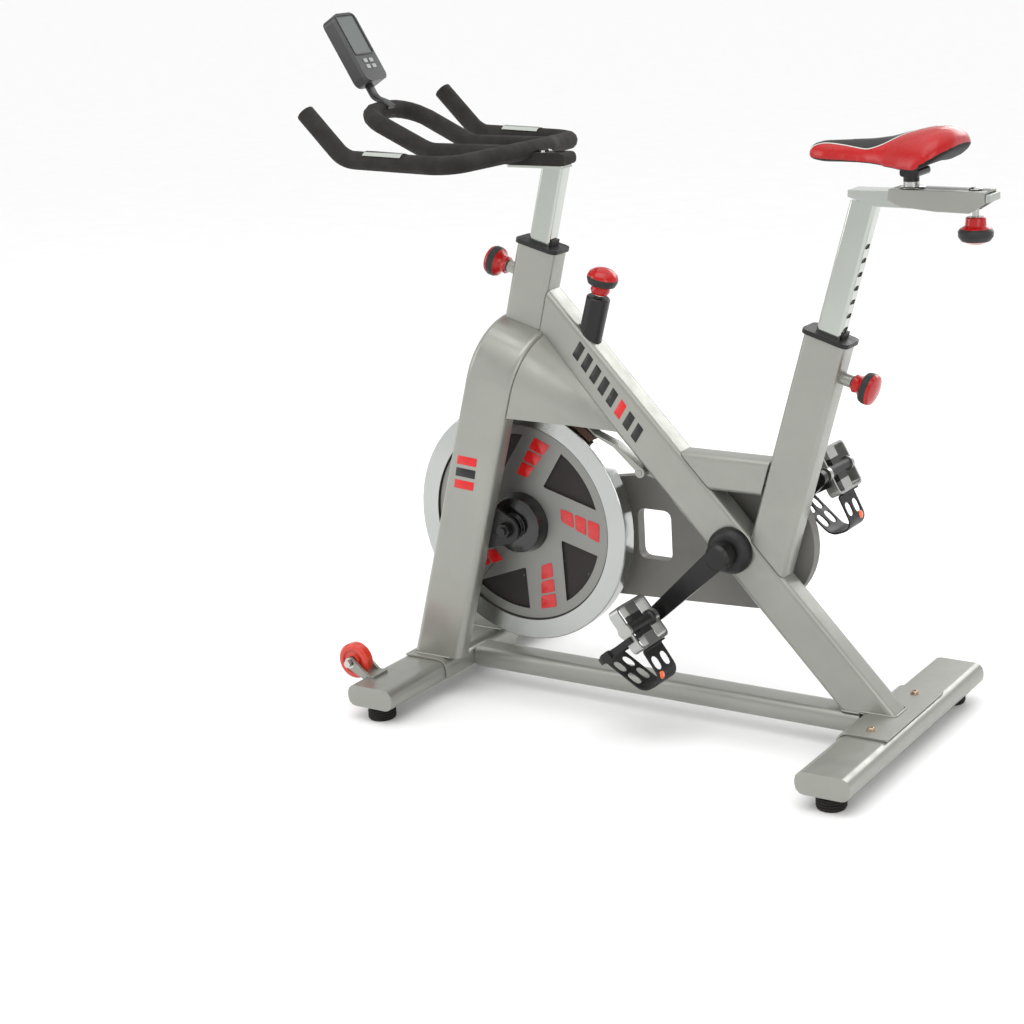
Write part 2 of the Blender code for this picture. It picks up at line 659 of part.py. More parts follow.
def crank(name, side, paints, spin):
    """An arm with a boss on the spindle and the pedal's own spindle at its far end."""
    angle = math.radians(180 + CRANK_ANGLE if side < 0 else CRANK_ANGLE)
    end = (CRANK_LENGTH * math.cos(angle), CRANK_LENGTH * math.sin(angle))
    low, high = sorted((side * 0.068, side * 0.082))
    outline = hull([(0, 0, 0.020), (*end, 0.0145)], steps=32)
    arm = prism(name, outline, "Y", low, high, paints["black"], spin)
    inner = 0.051 if side < 0 else COVER_RIGHT + 0.0015
    boss = [(0, inner), (0.022, inner), (0.024, inner + 0.002), (0.024, 0.078), (0.019, 0.084), (0, 0.084)]
    weld(arm, turned(name + "_boss", [(r, side * y) for r, y in boss], "Y", None, spin, steps=32))
    pin = [(0, 0.075), (0.009, 0.075), (0.009, 0.090), (0.007, 0.090), (0.007, 0.180), (0, 0.180)]
    pin = [(r, side * y) for r, y in pin]
    weld(arm, turned(name + "_pin", pin, "Y", None, spin, (end[0], 0, end[1]), 18))
    bore = SPINDLE_RADIUS + GAP
    socket = [(0, side * 0.040), (bore, side * 0.040), (bore, side * 0.076), (0, side * 0.076)]
    return cut(arm, turned(name + "_socket", socket, "Y", None, spin, steps=24))


def pedal(name, side, hang, paints, spin):
    """A pedal cage on its barrel. It hangs from the crank's pin, toe end down."""
    angle = math.radians(180 + CRANK_ANGLE if side < 0 else CRANK_ANGLE)
    at = (CRANK_LENGTH * math.cos(angle), 0, CRANK_LENGTH * math.sin(angle))
    turn = pivot(name + "_axis", at, 90 - hang, spin)
    near, far = 0.097, 0.189
    low, high = sorted((side * near, side * far))
    body = prism(name, rounded(-0.043, 0.043, low, high, 0.010), "Z", -0.011, 0.011, paints["chrome"], turn)
    low, high = sorted((side * (near + 0.004), side * (far - 0.004)))
    cut(body, prism(name + "_inside", rounded(-0.039, 0.039, low, high, 0.007), "Z", -0.1, 0.1, None, turn))
    low, high = sorted((side * 0.126, side * 0.158))
    weld(body, block(name + "_bridge", (-0.041, low, -0.007), (0.041, high, 0.007), None, turn))
    barrel = [(0, 0.0945), (0.014, 0.0945), (0.014, 0.110), (0.011, 0.114), (0.011, 0.180), (0.014, 0.184)]
    barrel += [(0.014, 0.190), (0, 0.190)]
    weld(body, turned(name + "_barrel", [(r, side * y) for r, y in barrel], "Y", None, turn, steps=18))
    bore = [(0, 0.080), (0.0073, 0.080), (0.0073, 0.1803), (0, 0.1803)]
    cut(body, turned(name + "_bore", [(r, side * y) for r, y in bore], "Y", None, turn, steps=18))
    toe_clip(name.replace("pedal", "toe_clip"), side, paints, turn)


def toe_clip(name, side, paints, turn):
    """The plastic cage round the toes, open for the foot, with its strap over the top."""
    middle = side * 0.142
    base_x = 0.0433 + 0.0016
    route = [(base_x, 0, 0.008), (base_x, 0, -0.004), (0.107, 0, -0.006)]
    route += [(0.102, 0, -0.052), (0.008, 0, -0.0885)]
    path = [point + Vector((0, middle, 0)) for point in rounded_path(route, (0.004, 0.018, 0.026))]
    clip = sweep(name, path, strip(0.003, 0.060), (0, 1, 0), paints["black"], turn)
    for y in (-0.0145, 0.0145):
        for low, high, top in ((0.030, 0.054, -0.03), (0.060, 0.086, 0.02)):
            slot = rounded(low, high, middle + y - 0.010, middle + y + 0.010, 0.008, 2)
            cutter = prism(name + "_slot", slot, "Z", -0.12, top, None, turn)
            join(clip, "DIFFERENCE", [cutter], "MANIFOLD")
    near, far, top = side * 0.0930, side * 0.1925, -0.0890
    strap_route = [(0.017, near, 0.004), (0.017, near, top), (0.017, far, top), (0.017, far, 0.004)]
    strap_path = rounded_path(strap_route, (0.022, 0.022))
    strap = sweep(name + "_strap", strap_path, strip(0.0026, 0.012), (1, 0, 0), None, turn)
    low, high = sorted((far - side * 0.002, far + side * 0.006))
    buckle = block(name + "_buckle", (0.008, low, -0.066), (0.026, high, -0.048), None, turn, 0.003)
    return join(clip, "UNION", [strap, buckle], "MANIFOLD")


def drive(paints, frames):
    bike = frames["bike"]
    wheel_spin = pivot("flywheel_spin_axis", WHEEL_AXLE, parent=bike)
    crank_spin = pivot("crank_spin_axis", CRANK_AXLE, parent=bike)
    flywheel(paints, wheel_spin)
    flywheel_hub(paints, wheel_spin)
    flywheel_axle(paints, bike)
    axle_bracket("axle_bracket_left", -1, paints, frames)
    axle_bracket("axle_bracket_right", 1, paints, frames)
    belt_covers(paints, bike)
    drive_belt(paints, bike)
    bottom_bracket(paints, bike)
    crank_pulley(paints, crank_spin)
    rod = [(0, -0.0755), (SPINDLE_RADIUS, -0.0755), (SPINDLE_RADIUS, 0.0755), (0, 0.0755)]
    turned("crank_spindle", rod, "Y", paints["steel"], crank_spin, steps=24)
    for side, word, hang in ((-1, "left", 38), (1, "right", 28)):
        crank(f"crank_{word}", side, paints, crank_spin)
        pedal(f"pedal_{word}", side, hang, paints, crank_spin)


# ---------------------------------------------------------------- brake


ARM_PIVOT = Vector((-0.012, 0, 0.452))
PAD_INNER, PAD_OUTER = WHEEL_RADIUS + 0.0045, WHEEL_RADIUS + 0.0185


def arm_lug(frames):
    """The ear under the diagonal tube, with the pin that the brake arm swings on."""
    x, z = ARM_PIVOT.x, ARM_PIVOT.z
    ear = hull([(x, z, 0.010), (x + 0.045, z - 0.010, 0.012), (x + 0.030, z + 0.030, 0.012)], steps=20)
    ear = prism("arm_lug", ear, "Y", 0.0025, 0.0085, None, frames["bike"])
    pin = [(0, -0.021), (0.0045, -0.021), (0.0045, 0.006), (0, 0.006)]
    return weld(ear, turned("arm_pin", pin, "Y", None, frames["bike"], ARM_PIVOT, 20))


def rim_arc(radius, start, end, steps):
    """Points round the flywheel, as seen from the brake arm's pivot."""
    centre = WHEEL_AXLE - ARM_PIVOT
    return arc((centre.x, centre.z), radius, start, end, steps)


def brake(paints, frames):
    swing = pivot("brake_arm_axis", ARM_PIVOT, parent=frames["bike"])
    pad = rim_arc(PAD_OUTER, 76, 47, 10) + rim_arc(PAD_INNER, 47, 76, 10)
    prism("brake_pad", pad, "Y", -0.024, 0.004, paints["felt"], swing)
    inner, outer = PAD_OUTER + GAP, PAD_OUTER + 0.0045
    upper = rim_arc(outer, 77, 48, 10) + [(-0.048, 0.047), (0.004, 0.008)]
    lower = [(-0.006, 0), (-0.052, 0.041)] + rim_arc(inner, 48, 77, 10)
    arm = prism("brake_arm", upper + lower, "Y", -0.020, 0.002, paints["frame"], swing)
    eye = [(0, -0.0205), (0.010, -0.0205), (0.010, 0.0022), (0, 0.0022)]
    weld(arm, turned("arm_eye", eye, "Y", None, swing, steps=24))
    bore = [(0, -0.1), (0.0048, -0.1), (0.0048, 0.1), (0, 0.1)]
    cut(arm, turned("arm_bore", bore, "Y", None, swing, steps=20))
    lean = frames["brake"]
    wall = [(0.0215, -0.140), (0.0215, -0.0345), (0.0190, -0.0320), (0.0063, -0.0320)]
    housing = turned("brake_housing", [*wall, (0.0063, -0.140)], "Z", paints["black"], lean, steps=32)
    face = TUBE_DEPTH / 2 + GAP
    cope = block("housing_cope", (-0.3, -0.1, -0.5), (face, 0.1, 0.7), None, frames["diagonal"])
    cut(housing, cope)
    rod = [(0, -0.2490), (0.005, -0.2490), (0.005, -0.0290), (0.010, -0.0290)]
    rod += [(0.010, -0.0265), (0.005, -0.0265), (0.005, 0.004), (0, 0.004)]
    turned("brake_rod", rod, "Z", paints["steel"], lean, steps=20)
    cap = [(0, 0.0043), (0.0053, 0.0043), (0.0053, -0.0255), (0.0150, -0.0255), (0.0175, -0.0200)]
    cap += [(0.0165, -0.0130), (0.0250, -0.0080), (0.0280, 0.0000), (0.0280, 0.0060)]
    cap += [(0.0255, 0.0120), (0.0180, 0.0180), (0.0080, 0.0215), (0, 0.0222)]
    turned("brake_knob", cap, "Z", paints["red"], lean, steps=24)


# ---------------------------------------------------------------- posts and pull pins


def bushing(name, post, tube_depth, side, paints, frame):
    """A black collar on top of a tube, with its sleeve inside and a tongue at the back."""
    depth, width = post[0] + 2 * GAP, post[1] + 2 * GAP
    outline = section(0.088, 0.058, 0.012)
    collar = prism(name, outline, "Z", GAP, COLLAR_HEIGHT, paints["black"], frame)
    sleeve = section(tube_depth - 0.0086, 0.0414, 0.0058)
    weld(collar, prism(name + "_sleeve", sleeve, "Z", -SLEEVE_LENGTH, 0.004, None, frame))
    back, top = post[0] / 2 + GAP, COLLAR_HEIGHT + 0.012
    weld(collar, block(name + "_tongue", (back, -0.012, 0.004), (back + 0.004, 0.012, top), None, frame))
    hole = prism(name + "_bore", section(depth, width, POST_CORNER), "Z", -0.2, 0.2, None, frame)
    profile = [(r, side * x) for r, x in ((0, 0.010), (0.0058, 0.010), (0.0058, 0.060), (0, 0.060))]
    drill = turned(name + "_drill", profile, "X", None, frame, (0, 0, -PIN_DROP), 16)
    return cut(collar, hole, drill)


def pull_pin(name, side, post, paints, frame):
    """A spring pin that is pulled out by its round knob to free the post."""
    tip = post[0] / 2 + 2 * GAP
    slide = pivot(name + "_axis", (0, 0, -PIN_DROP), parent=frame)
    profile = [(0, tip), (0.0040, tip), (0.0053, tip + 0.003), (0.0053, 0.0625), (0.0140, 0.0625)]
    profile += [(0.0160, 0.0650), (0.0150, 0.0720), (0.0190, 0.0780), (0.0255, 0.0820)]
    profile += [(0.0275, 0.0880), (0.0275, 0.0950), (0.0250, 0.1010), (0.0150, 0.1045), (0, 0.1055)]
    return turned(name, [(r, side * x) for r, x in profile], "X", paints["red"], slide, steps=24)


def handlebar_post(paints, frames):
    """The chrome post with its head plate, and dimples for the pull pin on its front face."""
    slide = frames["head"]
    width, depth = HANDLE_POST
    outline = section(width, depth, POST_CORNER)
    post = prism("handlebar_post", outline, "Z", -0.215, 0.160, paints["chrome"], slide)
    above = block("post_above", (-0.5, -0.1, 0.9890), (0.1, 0.1, 1.2), None, frames["bike"])
    cut(post, above)
    plate = rounded(-0.262, -0.143, -0.018, 0.018, 0.006)
    weld(post, prism("post_plate", plate, "Z", 0.9880, 0.9930, None, frames["bike"]))
    dimple = [(0, -0.03), (0.0055, -0.03), (0.0055, -0.017), (0, -0.017)]
    for i in range(7):
        z = -PIN_DROP - 0.014 + 0.024 * (i - 3)
        cut(post, turned("post_hole", dimple, "X", None, slide, (0, 0, z), 10))
    return post


def seat_post(paints, frames):
    """The chrome post with slots down its back, and the rail that the saddle slides on."""
    frame, bike = frames["seat"], frames["bike"]
    width, depth = SEAT_POST
    outline = section(width, depth, POST_CORNER)
    post = prism("seat_post", outline, "Z", -0.150, 0.245, paints["chrome"], frame)
    above = block("seat_post_above", (0.2, -0.1, 0.952), (0.7, 0.1, 1.2), None, bike)
    cut(post, above)
    outline = [(0.406, 0.9585), (0.4065, RAIL_TOP), (0.651, RAIL_TOP), (0.651, 0.9580), (0.604, 0.9480)]
    outline += [(0.517, 0.9435), (0.455, 0.9445)]
    weld(post, prism("seat_rail", outline, "Y", -0.0215, 0.0215, None, bike))
    for i in range(9):
        z = 0.024 + 0.0245 * (i - 2)
        slot = section(0.018, 0.0085, 0.003, 1)
        slot = [(u, v + z) for u, v in slot]
        cut(post, prism("seat_slot", slot, "X", 0.017, 0.030, None, frame))
    stud_slot = rounded(SLIDER_STUD_X - 0.046, SLIDER_STUD_X + 0.026, -0.0065, 0.0065, 0.006)
    return cut(post, prism("rail_slot", stud_slot, "Z", 0.9, 1.0, None, bike))


# ---------------------------------------------------------------- saddle


def seat_slider(paints, slide):
    """An upturned channel that slides along the rail, drawn about the saddle clamp."""
    outline = [(0.480, SLIDER_TOP), (0.478, 0.9560), (0.500, 0.9460), (0.560, 0.9405), (0.617, 0.9395)]
    outline += [(0.642, 0.9550), (0.643, SLIDER_TOP)]
    slider = prism("seat_slider", outline, "Y", -0.025, 0.025, paints["frame"], slide)
    channel = block("slider_channel", (0.40, -0.022, 0.90), (0.70, 0.022, RAIL_TOP + 2 * GAP), None, slide)
    profile = [(0, 0.9), (0.0058, 0.9), (0.0058, 1.0), (0, 1.0)]
    hole = turned("slider_hole", profile, "Z", None, slide, (SLIDER_STUD_X, 0, 0), 20)
    return cut(slider, channel, hole)


def slider_knob(paints, slide):
    """The clamp knob under the rail, its stud up through the slider to a washer on top."""
    axis = pivot("slider_knob_axis", (SLIDER_STUD_X, 0, 0), parent=slide)
    profile = [
        (0, 0.8880), (0.0120, 0.8885), (0.0230, 0.8930), (0.0280, 0.9000), (0.0285, 0.9080),
        (0.0250, 0.9130), (0.0170, 0.9180), (0.0160, 0.9300), (0.0140, 0.9315), (0.0055, 0.9315),
        (0.0055, SLIDER_TOP + GAP),
        (0.0110, SLIDER_TOP + GAP), (0.0110, 0.9765), (0.0060, 0.9785), (0, 0.9785),
    ]
    return turned("slider_knob", profile, "Z", paints["red"], axis, steps=24)


def saddle_clamp(paints, slide):
    """A stub on the slider with the clamp block that grips the saddle's rails."""
    foot = SLIDER_TOP + GAP
    profile = [(0, foot), (0.013, foot), (0.013, 0.998), (0, 0.998)]
    stub = turned("saddle_clamp", profile, "Z", paints["black"], slide, (0.509, 0, 0), 24)
    low, high = (0.499, -0.024, 0.9940), (0.532, 0.024, 1.0070)
    return weld(stub, block("clamp_block", low, high, None, slide, 0.005))


SADDLE_TILT = Vector((0.5185, 0, 1.001))
SADDLE = (
    # x, half width, top, edge height, underside at the middle
    (0.331, 0.010, 1.034, 1.021, 1.018),
    (0.340, 0.019, 1.043, 1.020, 1.015),
    (0.360, 0.026, 1.0475, 1.018, 1.012),
    (0.400, 0.030, 1.0495, 1.017, 1.013),
    (0.445, 0.036, 1.0520, 1.015, 1.014),
    (0.480, 0.050, 1.0565, 1.012, 1.013),
    (0.512, 0.069, 1.0655, 1.009, 1.014),
    (0.543, 0.082, 1.0720, 1.008, 1.014),
    (0.566, 0.083, 1.0740, 1.020, 1.020),
    (0.582, 0.070, 1.0710, 1.032, 1.030),
    (0.592, 0.051, 1.0640, 1.038, 1.037),
    (0.597, 0.034, 1.0560, 1.043, 1.042),
)


def saddle(paints, slide):
    """The padded top as one plain body, narrow at the nose and winged at the back."""
    tilt = pivot("saddle_tilt_axis", SADDLE_TILT, parent=slide)
    rings = []
    for x, half, top, edge, under in SADDLE:
        ring = []
        for y, z in arc((0, 0), 1, 0, 180, 12):
            ring.append(Vector((x, half * y, edge + (top - edge) * z)) - SADDLE_TILT)
        for i in range(1, 8):
            y = -1 + i / 4
            ring.append(Vector((x, half * y, edge + (under - edge) * (1 - y * y))) - SADDLE_TILT)
        rings.append(ring)
    return loft("saddle", rings, paints["red"], tilt)


# ---------------------------------------------------------------- handlebar and console


def handlebar_path():
    """From the left horn's tip along the arm, round the cross bar and back up the right horn."""
    left = [(-0.554, -0.204, 1.100), *ARM]
    right = [(x, -y, z) for x, y, z in reversed(left)]
    return rounded_path([*left, (-0.208, 0, 1.021), *right], (0.055, 0.055, 0.300, 0.055, 0.055))


def loop_path():
    """The inner loop: from the cross bar forwards, up and round its front."""
    left = [(-0.225, -0.062, 1.0175), (-0.393, -0.065, 1.0180)]
    left += [(-0.490, -0.067, 1.0625), (-0.540, -0.064, 1.0835)]
    right = [(x, -y, z) for x, y, z in reversed(left)]
    return rounded_path([*left, *right], (0.090, 0.060, 0.050, 0.050, 0.060, 0.090), 5)


def handlebar(paints, slide):
    tube = circle(GRIP_RADIUS, 12)
    bar = sweep("handlebar", handlebar_path(), tube, (0, 0, 1), paints["grip"], slide)
    weld(bar, sweep("handlebar_loop", loop_path(), tube, (0, 0, 1), None, slide))
    low, high = (-0.272, -0.020, 0.9933), (-0.137, 0.020, 1.0155)
    weld(bar, block("handlebar_mount", low, high, None, slide, 0.009))
    bolt = [(0, 1.010), (0.009, 1.010), (0.009, 1.018), (0.006, 1.020), (0, 1.020)]
    for x in (-0.192, -0.158):
        weld(bar, turned("mount_bolt", bolt, "Z", None, slide, (x, 0, 0), 16))
    return bar


def pulse_plate(name, side, middle, paints, slide):
    """A bright strip bent over the top of an arm."""
    start, end = (Vector((x, -side * y, z)) for x, y, z in ARM)
    along = (end - start).normalized()
    centre = start + along * ((middle - start.x) / along.x)
    inner, outer = GRIP_RADIUS + GAP, GRIP_RADIUS + 0.0018
    outline = arc((0, 0), outer, 40, 140, 8) + arc((0, 0), inner, 140, 40, 8)
    path = [centre - along * 0.040, centre + along * 0.040]
    return sweep(name, path, outline, (0, 0, 1), paints["chrome"], slide)


def console(paints, bike):
    """A slim upright display on its stem, leaning forwards, with four keys below the screen."""
    frame = pivot("console_frame", (-0.5515, 0, 1.148), -30.9, bike)
    outline = rounded(-0.031, 0.031, -0.010, 0.1305, 0.013)
    body = prism("console", outline, "X", -0.032, 0, paints["black"], frame)
    screen = rounded(-0.024, 0.024, 0.046, 0.124, 0.003)
    cut(body, prism("console_screen", screen, "X", -0.0012, 0.01, None, frame))
    route = [(-0.026, 0, 0.010), (-0.026, 0, -0.034), (-0.010, 0, -0.052), (-0.003, 0, -0.066)]
    stem = rounded_path(route, (0.020, 0.020), 4)
    weld(body, sweep("console_stem", stem, section(0.020, 0.008, 0.003, 2), (1, 0, 0), None, frame))
    tube = circle(GRIP_RADIUS + GAP, 16)
    cut(body, sweep("console_loop", loop_path(), tube, (0, 0, 1), None, bike))
    number = 0
    for z in (0.0305, 0.0185):
        for y in (-0.0082, 0.0082):
            number += 1
            press = pivot(f"console_key_{number}_axis", (0, y, z), parent=frame)
            well = prism("key_well", section(0.0112, 0.0090, 0.002, 2), "X", -0.006, 0.01, None, press)
            cut(body, well)
            outline = section(0.0104, 0.0082, 0.0018, 2)
            prism(f"console_key_{number}", outline, "X", -0.004, 0.0012, paints["key"], press)


# ---------------------------------------------------------------- the whole machine


def make_frames():
    bike = pivot("bike", (ORIGIN_X, 0, 0))
    return {
        "bike": bike,
        "fork": pivot("fork_frame", FORK_BASE, FORK_LEAN, bike),
        "head": pivot("head_frame", HEAD_TOP, HEAD_LEAN, bike),
        "diagonal": pivot("diagonal_frame", DIAGONAL_AT, DIAGONAL_LEAN, bike),
        "seat": pivot("seat_frame", SEAT_TOP, SEAT_LEAN, bike),
        "brake": pivot("brake_frame", BRAKE_AT, BRAKE_LEAN, bike),
    }


def main():
    for obj in list(bpy.data.objects):
        bpy.data.objects.remove(obj, do_unlink=True)
    paints = make_materials()
    frames = make_frames()
    bike = frames["bike"]
    base(paints, bike)
    front_fork(paints, frames)
    head_tube(paints, frames)
    diagonal_tube(paints, frames)
    seat_tube(paints, frames)
    cross_brace(paints, frames)
    fork_hood("fork_hood_left", -1, paints, frames)
    fork_hood("fork_hood_right", 1, paints, frames)
    for side, word in ((-1, "left"), (1, "right")):
        transport_wheel(f"transport_wheel_{word}", side, paints, bike)
    drive(paints, frames)
    brake(paints, frames)
    bushing("head_bushing", HANDLE_POST, HEAD_DEPTH, -1, paints, frames["head"])
    bushing("seat_bushing", SEAT_POST, SEAT_DEPTH, 1, paints, frames["seat"])
    pull_pin("handlebar_pin", -1, HANDLE_POST, paints, frames["head"])
    pull_pin("seat_pin", 1, SEAT_POST, paints, frames["seat"])
    handlebar_post(paints, frames)
    seat_post(paints, frames)
    seat_slider(paints, bike)
    slider_knob(paints, bike)
    saddle_clamp(paints, bike)
    saddle(paints, bike)
    handlebar(paints, bike)
    pulse_plate("pulse_plate_left", -1, -0.385, paints, bike)
    pulse_plate("pulse_plate_right", 1, -0.372, paints, bike)
    console(paints, bike)


main()
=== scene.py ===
import math

import bmesh
import bpy
from mathutils import Matrix, Vector
from mathutils.bvhtree import BVHTree


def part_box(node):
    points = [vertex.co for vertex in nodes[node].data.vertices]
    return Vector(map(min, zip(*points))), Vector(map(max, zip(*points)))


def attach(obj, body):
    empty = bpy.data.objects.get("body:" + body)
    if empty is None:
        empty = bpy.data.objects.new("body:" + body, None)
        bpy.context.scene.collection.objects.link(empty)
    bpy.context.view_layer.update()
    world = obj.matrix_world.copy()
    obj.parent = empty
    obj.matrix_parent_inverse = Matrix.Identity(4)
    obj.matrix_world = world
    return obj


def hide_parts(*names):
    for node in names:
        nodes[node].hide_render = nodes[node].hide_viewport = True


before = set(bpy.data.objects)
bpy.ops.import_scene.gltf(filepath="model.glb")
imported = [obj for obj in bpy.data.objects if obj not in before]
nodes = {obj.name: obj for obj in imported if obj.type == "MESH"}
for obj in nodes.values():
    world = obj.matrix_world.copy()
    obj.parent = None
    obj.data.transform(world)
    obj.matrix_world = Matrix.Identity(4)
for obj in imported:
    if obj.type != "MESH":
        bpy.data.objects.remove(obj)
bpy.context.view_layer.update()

# Where the design's zero sits in the row frame, in metres along X.
DX = -0.00251
UP = Vector((0, 0, 1))
ACROSS = Vector((0, 1, 0))
SIDES = ((-1, "left"), (1, "right"))

# Axles, and the frames that lean with the tubes.
FLYWHEEL = Vector((-0.270 + DX, 0, 0.331))
CRANK = Vector((0.1715 + DX, 0, 0.333))
CRANK_ARM = 0.170
CRANK_SLOPE = math.radians(43)


def leaning(degrees):
    """The direction of a tube that leans back by this angle, and the one square to it, to the rear."""
    a = math.radians(degrees)
    return Vector((math.sin(a), 0, math.cos(a))), Vector((math.cos(a), 0, -math.sin(a)))


BRAKE_UP = leaning(16.5)[0]
HEAD_UP, HEAD_BACK = leaning(15)
SEAT_UP, SEAT_BACK = leaning(17)
CONSOLE_UP, CONSOLE_BACK = leaning(-30.9)
PIN_DROP = 0.057  # from the top of a tube down to its pull pin
BRAKE_KNOB = Vector((-0.083 + DX, 0, 0.792))
HEAD_PIN = Vector((-0.2063 + DX, 0, 0.846)) - PIN_DROP * HEAD_UP
SEAT_PIN = Vector((0.3586 + DX, 0, 0.718)) - PIN_DROP * SEAT_UP
SLIDER_KNOB = Vector((0.618 + DX, 0, 0))
SADDLE_CLAMP = Vector((0.5115 + DX, 0, 0))
CONSOLE = Vector((-0.5515 + DX, 0, 1.148))
WHEEL_AXLE = Vector((-0.5265, 0, 0.090))

# A range that goes on to here, either way, has no end within the machine.
FAR = 9
# Points closer than this are one point, in metres.
SAME_POINT = 0.00002
# A height over the whole machine.
ABOVE_ALL = 2


def sRGB(r, g, b):
    """A colour given as the eye sees it, 0 to 255, as the linear values the shader takes."""
    return tuple(((c / 255 + 0.055) / 1.055) ** 2.4 if c > 10 else c / 3294.6 for c in (r, g, b))


SILVER = sRGB(148, 149, 142)
CHROME = sRGB(180, 184, 178)
STEEL = sRGB(184, 184, 181)
DARK_STEEL = sRGB(120, 121, 119)
SATIN_BLACK = sRGB(20, 19, 19)
PLASTIC_BLACK = sRGB(25, 24, 24)
RUBBER_BLACK = sRGB(30, 27, 25)
FOAM = sRGB(38, 35, 33)
VINYL_BLACK = sRGB(20, 19, 20)
VINYL_RED = sRGB(168, 6, 9)
PIPING = sRGB(206, 203, 198)
KNOB_RED = sRGB(168, 8, 8)
BAND_GREY = sRGB(34, 33, 34)
WHEEL_RED = sRGB(200, 44, 20)
COVER_GREY = sRGB(110, 109, 104)
FELT = sRGB(66, 44, 34)
KEY_GREY = sRGB(150, 152, 151)
SCREEN_GREY = sRGB(104, 108, 106)
BEZEL_GREY = sRGB(46, 46, 47)
POCKET = sRGB(30, 24, 21)
DISC_GREY = sRGB(138, 138, 135)
FLASH_RED = sRGB(190, 20, 20)
REFLECTOR = sRGB(232, 92, 22)


# ---------------------------------------------------------------- materials

